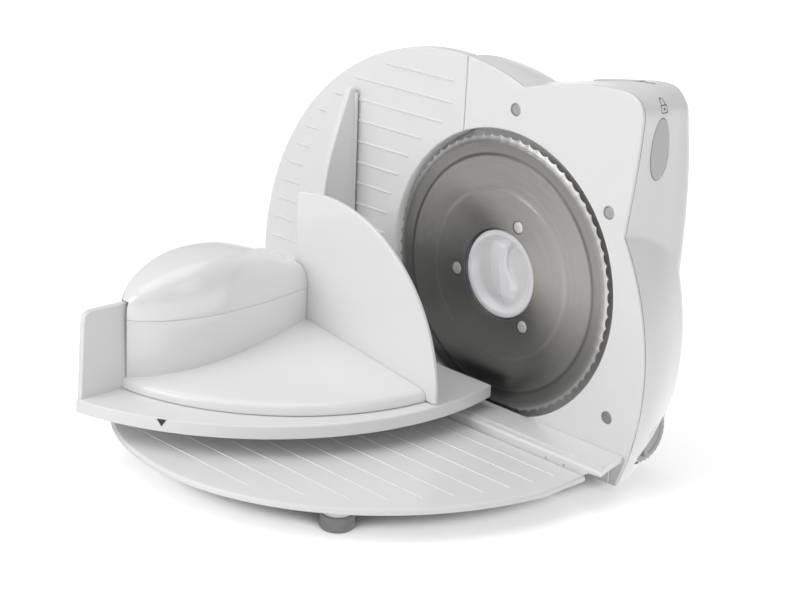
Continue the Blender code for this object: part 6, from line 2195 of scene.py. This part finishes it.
@dataclass
class Base:
    """Base with the carriage rail and its rubber feet."""

    feet: Flats = ((-185.0, -14.5), (70.0, -14.5), (-185.0, 40.0), (70.0, 32.0))

    def build(self, shop: Workshop) -> None:
        """Build the base and its feet and attach them to their body.

        Args:
            shop: Workshop that dresses them.
        """
        under = [(80.0, -102.0), (114.0, -102.0), (114.0, -84.3), (103.5, -85.0), (97.5, -89.8),
                 (88.0, -92.0)]
        holes = [block((x - 0.8, x + 0.8), (-33.0, -27.6), (-87.3, -85.6)) for x in (72.2, 85.8)]
        shop.softened("base_rail", "rail_and_base", "chassis", "housing_white", 0.25,
                      plate(Axis.Y, under, -38.0, -2.0),
                      block((97.5, 114.0), (-2.5, 0.4), (-102.0, -84.6)), *holes)
        feet = shop.spread(foot_shape(9.0, -101.0), lay(Axis.Z, self.feet, 0.0), "grey_rubber")
        shop.publish(feet, "base_feet", "chassis", "grey_rubber",
                     [f"base_foot_{n}" for n in (1, 2, 3, 4)])


@dataclass
class Studio:
    """White studio with soft light, a pale floor and the camera."""

    camera_place: Point = (0.7559, -0.7143, 0.4485)
    right: Point = (0.69698, 0.71534, 0.04989)
    up: Point = (-0.26313, 0.19041, 0.94578)
    forward: Point = (-0.66706, 0.67233, -0.32094)
    lens: float = 83.95
    aim: Point = (0.0, 0.0, 0.08)
    lights: tuple[tuple[str, Point, Flat, float], ...] = (
        ("overhead_light", (-0.15, -0.25, 1.5), (1.6, 1.6), 8.8),
        ("front_light", (-0.5, -1.5, 0.9), (1.0, 1.0), 10.6),
        ("side_light", (1.5, -0.1, 0.8), (0.7, 1.0), 2.4))
    daylight: float = 0.43
    sky_axis: Point = (0.9, 0.0, 1.0)
    sky_levels: Row = (-1.06, -0.80, 0.03, 2.0)
    height_levels: Row = (-0.12, 0.12, 1.0, 0.28)
    floor_half: float = 6.0
    floor_colour: Point = (0.97, 0.97, 0.97)
    # Painted floor glow for camera rays, rising with distance from the object, then the reach and levels
    # of the painted contact shade from ambient occlusion
    painted_floor_glow: Row = (0.25, 1.3, 0.40, 0.80)
    painted_shade_reach: float = 0.2
    painted_shade_levels: Row = (0.055, 0.125, 0.1, 1.0)

    def soft_box(self, name: str, place_at: Point, size: Flat, watts: float) -> None:
        """Hang one rectangular light that faces the object.

        Args:
            name: Name of the light.
            place_at: Its place in metres.
            size: Width and height in metres.
            watts: Its power.
        """
        light = bpy.data.lights.new(name, "AREA")
        light.shape = "RECTANGLE"
        light.size, light.size_y = size
        light.energy = watts
        lamp = linked(name, light)
        lamp.location = place_at
        facing = Vector(self.aim) - Vector(place_at)
        lamp.rotation_euler = facing.to_track_quat("-Z", "Y").to_euler()

    def world(self) -> None:
        """White for the camera, softer for light and reflections."""
        world = bpy.data.worlds.new("studio")
        bpy.context.scene.world = world
        world.use_nodes = True
        world.node_tree.nodes.clear()
        maker = Nodes(world.node_tree)
        path = maker.node("ShaderNodeLightPath").outputs
        toward = maker.node("ShaderNodeTexCoord").outputs["Generated"]
        tilt = maker.vector_maths("DOT_PRODUCT", {0: toward, 1: self.sky_axis})
        shine = maker.maths("MULTIPLY", maker.ramp(tilt, self.sky_levels, smooth=True),
                            maker.ramp(maker.split(toward)[2], self.height_levels))
        seen, lit, glossy = (
            maker.out("ShaderNodeBackground", {"Color": (1.0, 1.0, 1.0, 1.0), "Strength": level})
            for level in (1.0, self.daylight, shine))
        soft = maker.out("ShaderNodeMixShader", {0: path["Is Glossy Ray"], 1: lit, 2: glossy})
        both = maker.out("ShaderNodeMixShader", {0: path["Is Camera Ray"], 1: soft, 2: seen})
        maker.node("ShaderNodeOutputWorld", {"Surface": both})

    def floor(self) -> None:
        """Pale floor that takes the lamps' soft shadow, with painted contact shade from ambient
        occlusion in its colour and a painted glow for camera rays that grows away from the object.
        """
        reach = (-self.floor_half, self.floor_half)
        mesh = bpy.data.meshes.new("studio_floor")
        mesh.from_pydata([(*corner, 0) for corner in rectangle(reach, reach)], [], [(0, 1, 2, 3)])
        floor = linked("studio_floor", mesh)
        material, maker, shader = painted("studio_floor")
        place_now = maker.node("ShaderNodeTexCoord").outputs["Object"]
        away = maker.vector_maths("LENGTH", {0: place_now})
        seen = maker.node("ShaderNodeLightPath").outputs["Is Camera Ray"]
        # Painted contact shade: ambient occlusion darkens the floor's colour and glow near the object
        near = maker.node("ShaderNodeAmbientOcclusion", {"Distance": self.painted_shade_reach}, samples=48)
        painted_contact_shade = maker.ramp(near.outputs["AO"], self.painted_shade_levels)
        pale = maker.vector_maths("SCALE", {0: self.floor_colour, "Scale": painted_contact_shade})
        glow = maker.maths("MULTIPLY", maker.ramp(away, self.painted_floor_glow, smooth=True), seen)
        maker.fill(shader, {"Base Color": pale, "Roughness": 0.9, "Specular IOR Level": 0.1,
                            "Emission Color": pale, "Emission Strength": glow})
        mesh.materials.append(material)
        floor.visible_glossy = False

    def build(self) -> None:
        """Set up the camera, the lights and the floor."""
        scene = bpy.context.scene
        data = bpy.data.cameras.new("studio_camera")
        data.lens = self.lens
        data.sensor_width = 36.0
        data.sensor_fit = "HORIZONTAL"
        camera = linked("studio_camera", data)
        turn = Matrix((self.right, self.up, -Vector(self.forward))).transposed()
        camera.matrix_world = Matrix.Translation(self.camera_place) @ turn.to_4x4()
        scene.camera = camera
        scene.view_settings.view_transform = "Standard"
        scene.view_settings.look = "None"
        self.world()
        self.floor()
        for light in self.lights:
            self.soft_box(*light)


def main() -> None:
    """Build every sub-assembly, then the studio."""
    logging.basicConfig(level=logging.INFO, format="%(name)s: %(message)s")
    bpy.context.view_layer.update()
    shop = Workshop(Finishes())
    shop.dress()
    housing = Housing()
    for assembly in (housing, Controls(), BladeGroup(), StopPlate(housing), Table(), Carriage(),
                     Holder(), Base()):
        assembly.build(shop)
    Studio().build()


if __name__ == "__main__":
    main()
